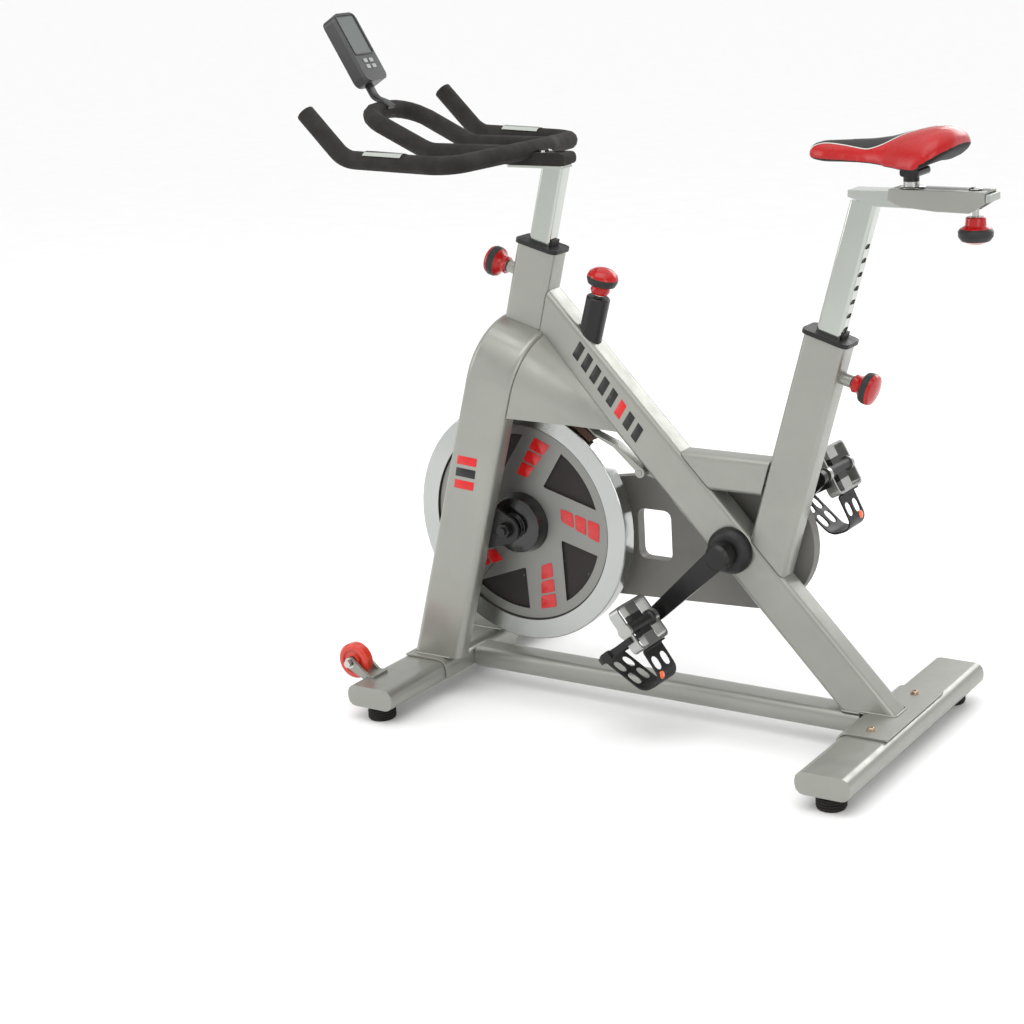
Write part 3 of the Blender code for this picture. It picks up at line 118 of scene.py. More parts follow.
class Shader:
    """A material's node tree, with the few operations that the finishes are built from."""

    def __init__(self, name):
        self.material = bpy.data.materials.new(name)
        self.material.use_nodes = True
        self.tree = self.material.node_tree
        self.tree.nodes.clear()
        self.bsdf = self.tree.nodes.new("ShaderNodeBsdfPrincipled")
        output = self.tree.nodes.new("ShaderNodeOutputMaterial")
        self.link(self.bsdf.outputs[0], output.inputs["Surface"])
        self.place = self.tree.nodes.new("ShaderNodeTexCoord").outputs["Object"]

    def link(self, out, into):
        self.tree.links.new(out, into)

    def feed(self, socket, value):
        """Links an output to a socket, or sets the socket to a plain value."""
        if isinstance(value, bpy.types.NodeSocket):
            self.link(value, socket)
        else:
            socket.default_value = value

    def math(self, operation, a, b=0.0):
        node = self.tree.nodes.new("ShaderNodeMath")
        node.operation = operation
        self.feed(node.inputs[0], a)
        self.feed(node.inputs[1], b)
        return node.outputs[0]

    def vector(self, operation, a, b=(0, 0, 0)):
        node = self.tree.nodes.new("ShaderNodeVectorMath")
        node.operation = operation
        self.feed(node.inputs[0], a)
        self.feed(node.inputs[1], b)
        return node.outputs["Value" if operation in ("DOT_PRODUCT", "LENGTH") else "Vector"]

    def noise(self, scale, detail, stretch=(1, 1, 1)):
        """Cloudy noise of this many cells a metre, around 0.5."""
        place = self.vector("MULTIPLY", self.place, stretch)
        node = self.tree.nodes.new("ShaderNodeTexNoise")
        self.link(place, node.inputs["Vector"])
        node.inputs["Scale"].default_value = scale
        node.inputs["Detail"].default_value = detail
        return node.outputs["Fac"]

    def cells(self, scale):
        """Round cells, this many a metre: the distance from the nearest middle."""
        node = self.tree.nodes.new("ShaderNodeTexVoronoi")
        self.link(self.place, node.inputs["Vector"])
        node.inputs["Scale"].default_value = scale
        return node.outputs["Distance"]

    def spread(self, value, low, high, start=0.3, end=0.7, shape="LINEAR"):
        """value from start to end, mapped to low to high and held there."""
        node = self.tree.nodes.new("ShaderNodeMapRange")
        node.interpolation_type = shape
        self.feed(node.inputs["Value"], value)
        for name, number in zip(("From Min", "From Max", "To Min", "To Max"), (start, end, low, high)):
            node.inputs[name].default_value = number
        return node.outputs[0]

    def tint(self, amount, a, b):
        """Colour a where amount is 0, and b where it is 1."""
        node = self.tree.nodes.new("ShaderNodeMix")
        node.data_type = "RGBA"
        self.feed(node.inputs["Factor"], amount)
        for socket, colour in ((node.inputs[6], a), (node.inputs[7], b)):
            self.feed(socket, colour if isinstance(colour, bpy.types.NodeSocket) else (*colour, 1))
        return node.outputs[2]

    def blend(self, amount, a, b):
        """Number a where amount is 0, and b where it is 1."""
        node = self.tree.nodes.new("ShaderNodeMix")
        self.feed(node.inputs["Factor"], amount)
        self.feed(node.inputs[2], a)
        self.feed(node.inputs[3], b)
        return node.outputs[0]

    def along(self, origin, axis):
        """Distance from origin along axis."""
        offset = self.vector("SUBTRACT", self.place, tuple(origin))
        return self.vector("DOT_PRODUCT", offset, tuple(axis))

    def across(self):
        """Distance to the right of the machine's middle plane."""
        return self.along((0, 0, 0), ACROSS)

    def aside(self):
        """Distance from the machine's middle plane, either way."""
        return self.math("ABSOLUTE", self.across())

    def height(self):
        """Height above the floor."""
        return self.along((0, 0, 0), UP)

    def along_normal(self, axis):
        """How far the surface faces along axis, from −1 to 1."""
        normal = self.place.node.outputs["Normal"]
        return self.vector("DOT_PRODUCT", normal, axis)

    def around(self, origin, axis):
        """Distance from the line through origin along axis."""
        offset = self.vector("SUBTRACT", self.place, tuple(origin))
        return self.vector("LENGTH", self.vector("CROSS_PRODUCT", offset, tuple(axis)))

    def between(self, value, low, high, soft=0.0003):
        """1 where low < value < high, with edges this soft."""
        above = self.spread(value, 0, 1, low - soft, low + soft)
        below = self.spread(value, 1, 0, high - soft, high + soft)
        return self.math("MULTIPLY", above, below)

    def both(self, a, b):
        """Where two masks overlap."""
        return self.math("MULTIPLY", a, b)

    def either(self, a, b):
        """Where there is one mask or the other."""
        return self.math("MAXIMUM", a, b)

    def ribs(self, value, rate, depth=1.0):
        """Waves along value, at this many radians a metre."""
        wave = self.math("SINE", self.math("MULTIPLY", value, rate))
        return self.math("MULTIPLY", wave, depth)

    def relief(self, height, strength, distance, normal=None):
        """Bumps of this height, on top of the ones already in normal."""
        node = self.tree.nodes.new("ShaderNodeBump")
        node.inputs["Strength"].default_value = strength
        node.inputs["Distance"].default_value = distance
        self.link(height, node.inputs["Height"])
        if normal is not None:
            self.link(normal, node.inputs["Normal"])
        return node.outputs[0]


def scaled(colour, factor):
    """A lighter or darker version of a colour."""
    return tuple(min(1.0, c * factor) for c in colour)


def finish(name, colour, roughness, metallic=0.0, *, grain, bump, patch, wear=None, zones=(),
           stretch=(1, 1, 1), grooves=None, coat=0.0, sheer=0.5):
    """A procedural finish: soft colour patches, uneven gloss, a fine grain in relief, and worn flecks.

    grain is how fine the grain is and bump how strong, and patch is how far the colour varies, as a share.
    wear is the colour of the flecks. zones are (mask, colour, roughness, metallic), where mask takes the
    shader and returns 0 to 1. grooves takes the shader and returns a height, in relief on top of the grain.
    sheer is the strength of the clear reflection, which is low on matt black pieces.
    """
    s = Shader(name)
    tone = s.spread(s.noise(7, 4), 0, 1)
    base = s.tint(tone, scaled(colour, 1 - patch), scaled(colour, 1 + patch))
    rough = s.spread(s.noise(35, 5, stretch), roughness * 0.82, roughness * 1.18)
    metal = metallic
    for mask_of, zone_colour, zone_roughness, zone_metallic in zones:
        mask = mask_of(s)
        own = s.tint(tone, scaled(zone_colour, 1 - patch), scaled(zone_colour, 1 + patch))
        base = s.tint(mask, base, own)
        rough = s.blend(mask, rough, zone_roughness)
        # metal stays a plain number until a zone differs from it
        if zone_metallic != metallic or metal is not metallic:
            metal = s.blend(mask, metal, zone_metallic)
    if wear is not None:
        flecks = s.spread(s.noise(130, 6, (1, 1.4, 0.8)), 0, 0.5, 0.66, 0.78)
        base = s.tint(flecks, base, wear)
        rough = s.blend(flecks, rough, min(1.0, roughness + 0.2))
    normal = s.relief(s.noise(grain, 3, stretch), bump, 0.0004)
    if grooves is not None:
        normal = s.relief(grooves(s), 0.8, 0.0008, normal)
    s.feed(s.bsdf.inputs["Base Color"], base)
    s.feed(s.bsdf.inputs["Roughness"], rough)
    s.feed(s.bsdf.inputs["Metallic"], metal)
    s.feed(s.bsdf.inputs["Normal"], normal)
    s.bsdf.inputs["Coat Weight"].default_value = coat
    s.bsdf.inputs["Coat Roughness"].default_value = 0.12
    s.bsdf.inputs["Specular IOR Level"].default_value = sheer
    return s.material


def paint_finish(name="silver_paint", zones=(), coat=0.25):
    """Warm silver metallic paint: a fine flake under a clear coat, with dull flecks."""
    return finish(name, SILVER, 0.36, 0.6, grain=900, bump=0.05, patch=0.05, wear=scaled(SILVER, 0.88),
                  zones=zones, coat=coat)


def chrome_finish():
    """Bright plating on the posts and the rails."""
    return finish("chrome_plate", CHROME, 0.14, 1.0, grain=60, bump=0.02, patch=0.04,
                  wear=scaled(CHROME, 0.8))


def steel_finish(name="turned_steel", colour=STEEL, roughness=0.26):
    """Bare steel, with its grain drawn out across the machine."""
    return finish(name, colour, roughness, 1.0, grain=500, bump=0.04, patch=0.06, wear=scaled(colour, 0.75),
                  stretch=(1, 0.08, 1))


def black_metal_finish(name="satin_black", zones=()):
    """Satin black lacquer on metal."""
    return finish(name, SATIN_BLACK, 0.34, grain=700, bump=0.06, patch=0.2, wear=sRGB(50, 48, 46),
                  zones=zones, coat=0.05, sheer=0.35)


def plastic_finish(name="black_plastic", colour=PLASTIC_BLACK, roughness=0.45):
    """Moulded plastic with a fine matt grain."""
    return finish(name, colour, roughness, grain=1100, bump=0.12, patch=0.1, wear=scaled(colour, 1.5),
                  sheer=0.35)


def rubber_finish(name="black_rubber", grooves=None):
    """Dull black rubber."""
    return finish(name, RUBBER_BLACK, 0.72, grain=800, bump=0.25, patch=0.18, wear=sRGB(60, 52, 46),
                  grooves=grooves, sheer=0.3)


def foam_finish():
    """Closed-cell foam sleeve: pitted, with a soft weave of pores."""
    return finish("grip_foam", FOAM, 0.82, grain=1500, bump=0.5, patch=0.12, wear=sRGB(58, 54, 50),
                  grooves=lambda s: s.cells(520), sheer=0.3)


def knob_finish(name, origin, axis, band, steel_below=None, steel_above=None):
    """Glossy red knob with a ribbed dark band across its axis, and the steel shank that it turns on.

    band is the start and end of the dark band along the axis. Below steel_below, or above steel_above, the
    piece is its bare shank.
    """
    def stretch_of(low, high):
        return lambda s: s.between(s.along(origin, axis), low, high)

    def ribs(s):
        return s.both(s.ribs(s.along(origin, axis), 4200, 0.35), stretch_of(*band)(s))

    zones = [(stretch_of(*band), BAND_GREY, 0.5, 0.0)]
    if steel_below is not None:
        zones.append((stretch_of(-FAR, steel_below), CHROME, 0.16, 1.0))
    if steel_above is not None:
        zones.append((stretch_of(steel_above, FAR), STEEL, 0.24, 1.0))
    return finish(name, KNOB_RED, 0.2, grain=300, bump=0.03, patch=0.05, wear=sRGB(226, 66, 56),
                  zones=zones, grooves=ribs, coat=0.15, sheer=0.35)


def flywheel_finish():
    """Polished rim, a dark ring inside it painted as the shade in the step down to the face, a satin face
    and near-black cast pockets.
    """
    # line is the painted shade ring at the step down from the rim to the face.
    face_edge, line, pockets = 0.1875, (0.1855, 0.1888), (0.03, 0.1705)
    pocket_depth = (-0.0215, -0.0102)

    def radius(s):
        return s.around(FLYWHEEL, ACROSS)

    def pocket(s):
        return s.both(s.between(radius(s), *pockets),
                      s.between(s.along(FLYWHEEL, ACROSS), *pocket_depth, 0.0002))

    zones = [
        (lambda s: s.between(radius(s), 0.0, face_edge), DISC_GREY, 0.42, 0.85),
        # Painted shade: the dark ring stands in for the shadow in the step between the polished rim and the
        # grey face.
        (lambda s: s.between(radius(s), *line), sRGB(52, 50, 48), 0.5, 0.6),
        (pocket, POCKET, 0.62, 0.1),
    ]
    return finish("flywheel_steel", sRGB(176, 178, 176), 0.15, 1.0, grain=260, bump=0.03, patch=0.04,
                  wear=sRGB(150, 148, 144), zones=zones, grooves=lambda s: s.ribs(radius(s), 5200, 0.06))


def foot_finish():
    """Ribbed dark rubber foot."""
    return rubber_finish("foot_rubber", grooves=lambda s: s.ribs(s.height(), 1400, 0.5))


def belt_finish():
    """Drive belt, with ribs that run the way it does."""
    return rubber_finish("belt_rubber", grooves=lambda s: s.ribs(s.across(), 2600))


def wheel_finish():
    """Glossy moulded transport wheel with a dark hub, and a darker ring of its own red round it, painted as
    the shade of a groove.
    """
    hub_radius, groove = 0.0105, (0.0215, 0.0228)
    zones = [
        (lambda s: s.between(s.around(WHEEL_AXLE, ACROSS), 0.0, hub_radius), sRGB(38, 34, 32), 0.5, 0.0),
        # Painted shade: the groove is shown as a darker copy of the wheel's red.
        (lambda s: s.between(s.around(WHEEL_AXLE, ACROSS), *groove), scaled(WHEEL_RED, 0.55), 0.4, 0.0),
    ]
    return finish("wheel_moulding", WHEEL_RED, 0.28, grain=400, bump=0.05, patch=0.07,
                  wear=sRGB(236, 110, 80), coat=0.4, zones=zones)


def pedal_finish(name, centre):
    """Cast cage with a dark moulded body round the spindle."""
    body_radius, body_ends = 0.0215, (0.104, 0.183)

    def body(s):
        return s.both(s.between(s.around(centre, ACROSS), 0.0, body_radius),
                      s.between(s.aside(), *body_ends))

    return finish(name, sRGB(172, 173, 170), 0.34, 0.9, grain=700, bump=0.15, patch=0.08,
                  wear=DARK_STEEL, zones=[(body, PLASTIC_BLACK, 0.5, 0.0)])


def hub_finish():
    """Glossy black hub, with its steel end ground bright where the nut pulls up."""
    face_radius, face_ends = 0.0125, (-0.2, -0.055)

    def face(s):
        return s.both(s.between(s.around(FLYWHEEL, ACROSS), 0.0, face_radius),
                      s.between(s.across(), *face_ends))

    return finish("hub_black", sRGB(16, 15, 15), 0.2, 0.1, grain=500, bump=0.05, patch=0.2,
                  wear=sRGB(60, 57, 54), zones=[(face, STEEL, 0.3, 1.0)], coat=0.6)


def console_finish():
    """Dark back shell, a lighter face and a grey glass screen."""
    face_depth, glass_depth = (-0.0075, 0.01), (-0.0075, -0.0004)
    glass_rise, glass_half_width = (0.0462, 0.1238), 0.0238

    def face(s):
        return s.between(s.along(CONSOLE, CONSOLE_BACK), *face_depth, 0.0004)

    def glass(s):
        deep = s.between(s.along(CONSOLE, CONSOLE_BACK), *glass_depth, 0.0002)
        tall = s.between(s.along(CONSOLE, CONSOLE_UP), *glass_rise)
        return s.both(s.both(deep, tall), s.between(s.aside(), -1, glass_half_width))

    zones = [(face, BEZEL_GREY, 0.34, 0.0), (glass, SCREEN_GREY, 0.12, 0.0)]
    return finish("console_shell", sRGB(24, 23, 23), 0.32, grain=1200, bump=0.12, patch=0.08,
                  wear=sRGB(52, 50, 48), zones=zones)


def cover_finish():
    """Warm grey moulded shell with a parting groove round its edge."""
    parting = (0.0525, 0.0540)

    def groove(s):
        return s.math("MULTIPLY", s.between(s.across(), *parting, 0.0002), -1)

    return finish("cover_shell", COVER_GREY, 0.5, grain=900, bump=0.14, patch=0.06,
                  wear=scaled(COVER_GREY, 1.25), grooves=groove)


def felt_finish():
    """Coarse brown brake felt."""
    return finish("brake_felt", FELT, 0.95, grain=1600, bump=0.9, patch=0.3, wear=sRGB(104, 78, 60),
                  grooves=lambda s: s.noise(2200, 5, (1, 0.3, 1)))


def bracket_finish():
    """Painted wheel bracket, with the bare steel head and nut of its axle bolt."""
    nut_radius, inner_face, outer_face = 0.0100, 0.2048, 0.2392

    def nut(s):
        ends = s.either(s.between(s.aside(), outer_face, 1), s.between(s.aside(), -1, inner_face))
        return s.both(s.between(s.around(WHEEL_AXLE, ACROSS), -1, nut_radius), ends)

    return paint_finish("bracket_paint", [(nut, scaled(STEEL, 1.1), 0.22, 1.0)], coat=0.0)


def clamp_finish():
    """The black saddle clamp, with the bright nut and washers that it stands on."""
    def foot(s):
        return s.between(s.height(), 0.9, 0.9845)

    return black_metal_finish("clamp_black", [(foot, STEEL, 0.25, 1.0)])


def slider_finish():
    """The seat slider in frame paint, with a black strip painted along its top as the shade inside it."""
    # Painted shade: a black strip along the slider's top stands in for the shadow inside its open top.
    shade_strip_half_width, shade_strip_top = 0.0125, (0.9733, 0.98)

    def painted_shade_strip(s):
        return s.both(s.between(s.aside(), -1, shade_strip_half_width),
                      s.between(s.height(), *shade_strip_top, 0.0002))

    return paint_finish("slider_paint", [(painted_shade_strip, SATIN_BLACK, 0.5, 0.0)])


# The black top of the saddle: its half width at the nose, the middle and the tail, and where it changes.
TOP_NOSE, TOP_MIDDLE, TOP_TAIL = 0.0115, 0.0320, -0.0030
TOP_SWELLS = (0.345, 0.480)
TOP_CLOSES = (0.455, 0.585)
TOP_FLOOR = (1.030, 1.032)
TAIL_START = 0.555 + DX


def saddle_top(s):
    """The black top: 1 within its half width of the middle plane, above the flanks."""
    back = s.along((DX, 0, 0), (1, 0, 0))
    swell = s.spread(back, TOP_NOSE, TOP_MIDDLE, *TOP_SWELLS, "SMOOTHSTEP")
    close = s.spread(back, 1, TOP_TAIL / TOP_MIDDLE, *TOP_CLOSES, "SMOOTHSTEP")
    beyond = s.math("SUBTRACT", s.aside(), s.both(swell, close))
    return s.both(s.spread(s.height(), 0, 1, *TOP_FLOOR), s.spread(beyond, 1, 0, -0.0003, 0.0003))


def saddle_underside(s):
    """What faces down, and what turns down a little at the tail."""
    facing_down = s.along_normal((0, 0, -1))
    tail = s.between(s.along((0, 0, 0), (1, 0, 0)), TAIL_START, FAR)
    turned_down = s.both(s.spread(facing_down, 0, 1, 0.10, 0.18), tail)
    return s.either(s.spread(facing_down, 0, 1, 0.50, 0.62), turned_down)


def saddle_finish():
    """Stretched vinyl: black along the top and underneath, glossy red flanks."""
    s = Shader("saddle_vinyl")
    top = saddle_top(s)
    under = saddle_underside(s)
    black = s.either(top, under)
    cloud = s.spread(s.noise(9, 4), 0, 1)
    red = s.tint(cloud, scaled(VINYL_RED, 0.9), scaled(VINYL_RED, 1.08))
    dark = s.tint(cloud, scaled(VINYL_BLACK, 0.8), scaled(VINYL_BLACK, 1.25))
    s.feed(s.bsdf.inputs["Base Color"], s.tint(black, red, dark))
    gloss = s.spread(s.noise(50, 4), 0.22, 0.32)
    s.feed(s.bsdf.inputs["Roughness"], s.blend(under, s.blend(top, gloss, 0.46), 0.92))
    pores = s.relief(s.cells(1100), 0.25, 0.0003)
    s.feed(s.bsdf.inputs["Normal"], s.relief(s.noise(45, 3), 0.12, 0.001, pores))
    s.bsdf.inputs["Specular IOR Level"].default_value = 0.35
    s.bsdf.inputs["Coat Weight"].default_value = 0.1
    s.bsdf.inputs["Coat Roughness"].default_value = 0.2
    return s.material


# ---------------------------------------------------------------- CAD nodes

EDGE_ROUND = 0.0007
SOFT_EDGE = math.radians(32)


def soften(piece, width=EDGE_ROUND):
    """Joins the split faces, rounds each sharp edge to catch the light, and shades the rest smooth."""
    custom = piece.data.attributes.get("custom_normal")
    if custom is not None:
        piece.data.attributes.remove(custom)
    piece.data.shade_smooth()
    weld = piece.modifiers.new("join", "WELD")
    weld.merge_threshold = SAME_POINT
    bevel = piece.modifiers.new("edges", "BEVEL")
    bevel.width = width
    bevel.segments = 2
    bevel.limit_method = "ANGLE"
    bevel.angle_limit = SOFT_EDGE
    bevel.miter_outer = "MITER_ARC"
    normals = piece.modifiers.new("shading", "WEIGHTED_NORMAL")
    normals.weight = 60


def set_finish(piece, material):
    """Gives the piece this material and no other."""
    piece.data.materials.clear()
    piece.data.materials.append(material)


def pedal_centre(side):
    """Where the pedal's spindle crosses: side is −1 on the left and 1 on the right."""
    reach = CRANK_ARM * side
    return CRANK + Vector((math.cos(CRANK_SLOPE) * reach, 0, math.sin(CRANK_SLOPE) * reach))


def finishes_by_slot():
    """The finish of each CAD material. The knobs and the saddle have finishes of their own instead."""
    black = plastic_finish()
    return {
        "frame_paint": paint_finish(),
        "chrome": chrome_finish(),
        "bright_steel": steel_finish(),
        "black_metal": black_metal_finish(),
        "black_plastic": black,
        "black_rubber": rubber_finish(),
        "grip": foam_finish(),
        "knob_red": black,
        "wheel_orange": wheel_finish(),
        "cover_grey": cover_finish(),
        "felt": felt_finish(),
        "key_grey": plastic_finish("key_caps", KEY_GREY, 0.4),
        "saddle_cover": black,
    }


def finishes_by_node():
    """The finishes of single nodes, whose masks need to know where they are."""
    pin_band, pin_shank = (0.082, 0.095), 0.0625
    own = {
        "flywheel": flywheel_finish(),
        "flywheel_hub": hub_finish(),
        "console": console_finish(),
        "drive_belt": belt_finish(),
        "seat_slider": slider_finish(),
        "brake_knob": knob_finish("brake_knob_red", BRAKE_KNOB, BRAKE_UP, (-0.008, 0.006)),
        "handlebar_pin": knob_finish("head_pin_red", HEAD_PIN, -HEAD_BACK, pin_band, pin_shank),
        "seat_pin": knob_finish("seat_pin_red", SEAT_PIN, SEAT_BACK, pin_band, pin_shank),
        "saddle_clamp": clamp_finish(),
        "transport_bracket_left": bracket_finish(),
        "slider_knob": knob_finish("slider_knob_red", SLIDER_KNOB, UP, (0.893, 0.913), None, 0.9316),
        "pedal_left": pedal_finish("pedal_left_cast", pedal_centre(-1)),
        "pedal_right": pedal_finish("pedal_right_cast", pedal_centre(1)),
    }
    own["transport_bracket_right"] = own["transport_bracket_left"]
    feet = foot_finish()
    for end in ("front", "rear"):
        for side in ("left", "right"):
            own[f"levelling_foot_{end}_{side}"] = feet
    return own


def dress_cad_nodes():
    """Gives every CAD node its finish and its soft edges, and returns the finishes by slot."""
    by_slot = finishes_by_slot()
    by_node = finishes_by_node()
    for name, piece in nodes.items():
        slot = piece.data.materials[0].name.split(".")[0]
        set_finish(piece, by_node.get(name, by_slot[slot]))
        soften(piece)
    return by_slot


# ---------------------------------------------------------------- pieces

def new_object(name, data):
    """An object in the scene that shows this mesh, curve, light or camera."""
    made = bpy.data.objects.new(name, data)
    bpy.context.scene.collection.objects.link(made)
    return made


def add_piece(name, mesh, body, material):
    """A smooth-shaded piece that rides on this body."""
    piece = new_object(name, mesh)
    mesh.materials.append(material)
    mesh.shade_smooth()
    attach(piece, body)
    return piece


def facing(origin, outwards):
    """A transform whose Z looks outwards from origin."""
    return Matrix.Translation(origin) @ outwards.to_track_quat("Z", "Y").to_matrix().to_4x4()


def placed(origin, x_axis, y_axis, z_axis):
    """A transform with its own axes along these directions, and its zero at origin."""
    matrix = Matrix.Identity(4)
    for column, direction in enumerate((x_axis, y_axis, z_axis, origin)):
        for row in range(3):
            matrix[row][column] = direction[row]
    return matrix


def turned_mesh(name, profile, origin, outwards, sides=32):
    """A closed turned shape: profile is (radius, height) from its foot to its top.

    The profile meets the axis at both ends, or ends where it starts, which makes a ring.
    """
    bm = bmesh.new()
    rings = []
    for radius, height in profile:
        if radius == 0:
            rings.append([bm.verts.new((0, 0, height))])
            continue
        turns = (2 * math.pi * i / sides for i in range(sides))
        rings.append([bm.verts.new((radius * math.cos(t), radius * math.sin(t), height)) for t in turns])
    for low, high in zip(rings, rings[1:]):
        for i in range(sides):
            j = (i + 1) % sides
            corners = [low[i % len(low)], low[j % len(low)], high[j % len(high)], high[i % len(high)]]
            bm.faces.new(list(dict.fromkeys(corners)))
    bm.transform(facing(origin, outwards))
    mesh = bpy.data.meshes.new(name)
    bm.to_mesh(mesh)
    bm.free()
    return mesh


# Each kind of bolt: the radius and the height of its head.
PLATE_BOLT = (0.0062, 0.0056)
CRANK_BOLT = (0.0068, 0.0040)
WHEEL_BOLT = (0.0055, 0.0035)
MOUNT_BOLT = (0.0042, 0.0032)
COVER_SCREW = (0.0035, 0.0018)
BOLT_SINK = 0.0005
BOLT_EDGE = 0.0002


def bolt(name, origin, outwards, radius, height, body, material, slot="bright_steel"):
    """A button-head bolt on its washer, with a socket sunk in it."""
    washer, socket = radius * 1.35, radius * 0.42
    seat, shoulder, socket_floor = height * 0.2, height * 0.5, height * 0.45
    profile = [(0, -BOLT_SINK), (washer, -BOLT_SINK), (washer, seat), (radius, seat), (radius, shoulder),
               (radius * 0.86, height * 0.82), (radius * 0.6, height),
               (socket, height), (socket, socket_floor), (0, socket_floor)]
    piece = add_piece(name, turned_mesh(name, profile, origin, outwards), body, material)
    soften(piece, BOLT_EDGE)


# A plate's edge is rounded where its faces turn more than this, in radians.
SHARP_RIM = 0.6


def plate_mesh(name, outline, thickness, transform, bevel, cuts):
    """A closed plate from an outline in its own X and Y, its edges rounded this far in this many cuts."""
    bm = bmesh.new()
    face = bm.faces.new([bm.verts.new((x, y, 0)) for x, y in outline])
    raised = bmesh.ops.extrude_face_region(bm, geom=[face])
    bmesh.ops.translate(bm, verts=[v for v in raised["geom"] if isinstance(v, bmesh.types.BMVert)],
                        vec=(0, 0, thickness))
    bmesh.ops.recalc_face_normals(bm, faces=bm.faces)
    rims = [e for e in bm.edges if e.calc_face_angle(0) > SHARP_RIM]
    bmesh.ops.bevel(bm, geom=rims, offset=bevel, segments=cuts, affect="EDGES", profile=0.5)
    bm.transform(transform)
    bmesh.ops.recalc_face_normals(bm, faces=bm.faces)
    mesh = bpy.data.meshes.new(name)
    bm.to_mesh(mesh)
    bm.free()
    return mesh


def rounded(corners, radius, steps=4):
    """The outline through these corners, with each of them rounded."""
    outline = []
    count = len(corners)
    for i, corner in enumerate(corners):
        here = Vector(corner)
        before = (Vector(corners[i - 1]) - here).normalized()
        after = (Vector(corners[(i + 1) % count]) - here).normalized()
        for k in range(steps + 1):
            t = k / steps
            blend = (1 - t) ** 2 * before + t ** 2 * after
            outline.append(tuple(here + radius * blend))
    return outline


def tube_mesh(name, points, radius, roundness=3, closed=False):
    """A tube along the line through these points, with capped ends unless it closes on itself."""
    curve = bpy.data.curves.new(name + "_line", "CURVE")
    curve.dimensions = "3D"
    curve.bevel_depth = radius
    curve.bevel_resolution = roundness
    curve.use_fill_caps = not closed
    spline = curve.splines.new("POLY")
    spline.points.add(len(points) - 1)
    for point, place in zip(spline.points, points):
        point.co = (*place, 1)
    spline.use_cyclic_u = closed
    holder = new_object(name + "_line", curve)
    bpy.context.view_layer.update()
    mesh = bpy.data.meshes.new_from_object(holder)
    mesh.name = name
    bpy.data.objects.remove(holder)
    bpy.data.curves.remove(curve)
    mesh.materials.clear()
    return mesh


# Flywheel flashes: between its five pockets, each of three rounded blocks that slant round the disc.
# Angles are in degrees up from the rear, cuts are shares of the way in from the rim.
FLASHES = 5
FIRST_FLASH = 71
FLASH_FACE = -0.0222
FLASH_OUTER, FLASH_INNER = 0.1680, 0.0900
FLASH_TWIST = 16
FLASH_WIDE, FLASH_NARROW = 0.0175, 0.0115
FLASH_CUTS = ((0.0, 0.30), (0.345, 0.63), (0.675, 1.0))
FLASH_SLANT = -0.0045
FLASH_CORNER = 0.0042
FLASH_THICKNESS = 0.0006


def wheel_point(angle, radius):
    """A point on the flywheel's left face, as the face's own (X, Z)."""
    a = math.radians(angle)
    return Vector((radius * math.cos(a), radius * math.sin(a)))


def flash_block(name, angle, start, end, material):
    """One block of a flash, from start to end of the way in from the rim."""
    outer, inner = wheel_point(angle, FLASH_OUTER), wheel_point(angle + FLASH_TWIST, FLASH_INNER)
    run = inner - outer
    aside = Vector((-run.y, run.x)).normalized()
    slant = run.normalized() * FLASH_SLANT
    corners = []
    for share_in, sides in ((start, (1, -1)), (end, (-1, 1))):
        middle = outer + run * share_in
        half_width = FLASH_WIDE + (FLASH_NARROW - FLASH_WIDE) * share_in
        corners += [tuple(middle + (aside * half_width + slant) * side) for side in sides]
    place = placed((FLYWHEEL.x, FLASH_FACE, FLYWHEEL.z), (1, 0, 0), UP, -ACROSS)
    mesh = plate_mesh(name, rounded(corners, FLASH_CORNER), FLASH_THICKNESS, place, 0.0002, 2)
    add_piece(name, mesh, "flywheel", material)


def add_flashes():
    """Red enamelled blocks on the flywheel's left face."""
    material = finish("flash_enamel", FLASH_RED, 0.26, grain=500, bump=0.04, patch=0.06,
                      wear=sRGB(226, 70, 60), coat=0.4)
    for spoke in range(FLASHES):
        angle = FIRST_FLASH - spoke * 360 / FLASHES
        for block, (start, end) in enumerate(FLASH_CUTS, 1):
            flash_block(f"flywheel_flash_{spoke + 1}_{block}", angle, start, end, material)


PLATE_BOLTS = (("front", -0.4446), ("rear", 0.4610))
PLATE_BOLT_ASIDE = 0.0905
PLATE_BOLT_FACE = 0.0722


def add_plate_bolts(material):
    """Each saddle plate is held to its floor bar by a button-head bolt on either side."""
    for end, x in PLATE_BOLTS:
        for side, name in SIDES:
            spot = Vector((x, side * PLATE_BOLT_ASIDE, PLATE_BOLT_FACE))
            bolt(f"{end}_plate_bolt_{name}", spot, UP, *PLATE_BOLT, "frame", material)


def add_crank_bolts(steel):
    """The bolts that hold the crank arms on the spindle."""
    for side, name in SIDES:
        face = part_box("crank_spindle")[1 if side > 0 else 0].y
        spot = Vector((CRANK.x, face, CRANK.z))
        bolt(f"crank_bolt_{name}", spot, ACROSS * side, *CRANK_BOLT, "crank", steel)


def add_wheel_bolts(steel):
    """The ends of the bolt that each transport wheel turns on."""
    for side, name in SIDES:
        low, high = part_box(f"transport_wheel_{name}")
        for outwards, y in ((-1, low.y), (1, high.y)):
            where = "outer" if outwards == side else "inner"
            spot = Vector(((low.x + high.x) / 2, y, (low.z + high.z) / 2))
            bolt(f"transport_bolt_{name}_{where}", spot, ACROSS * outwards, *WHEEL_BOLT,
                 f"transport_wheel_{name}", steel)


COVER_SCREWS = ((-0.235, 0.440), (-0.060, 0.425), (0.255, 0.430), (0.270, 0.235), (0.040, 0.212),
                (-0.300, 0.262))
SCREW_SINK = 0.0002


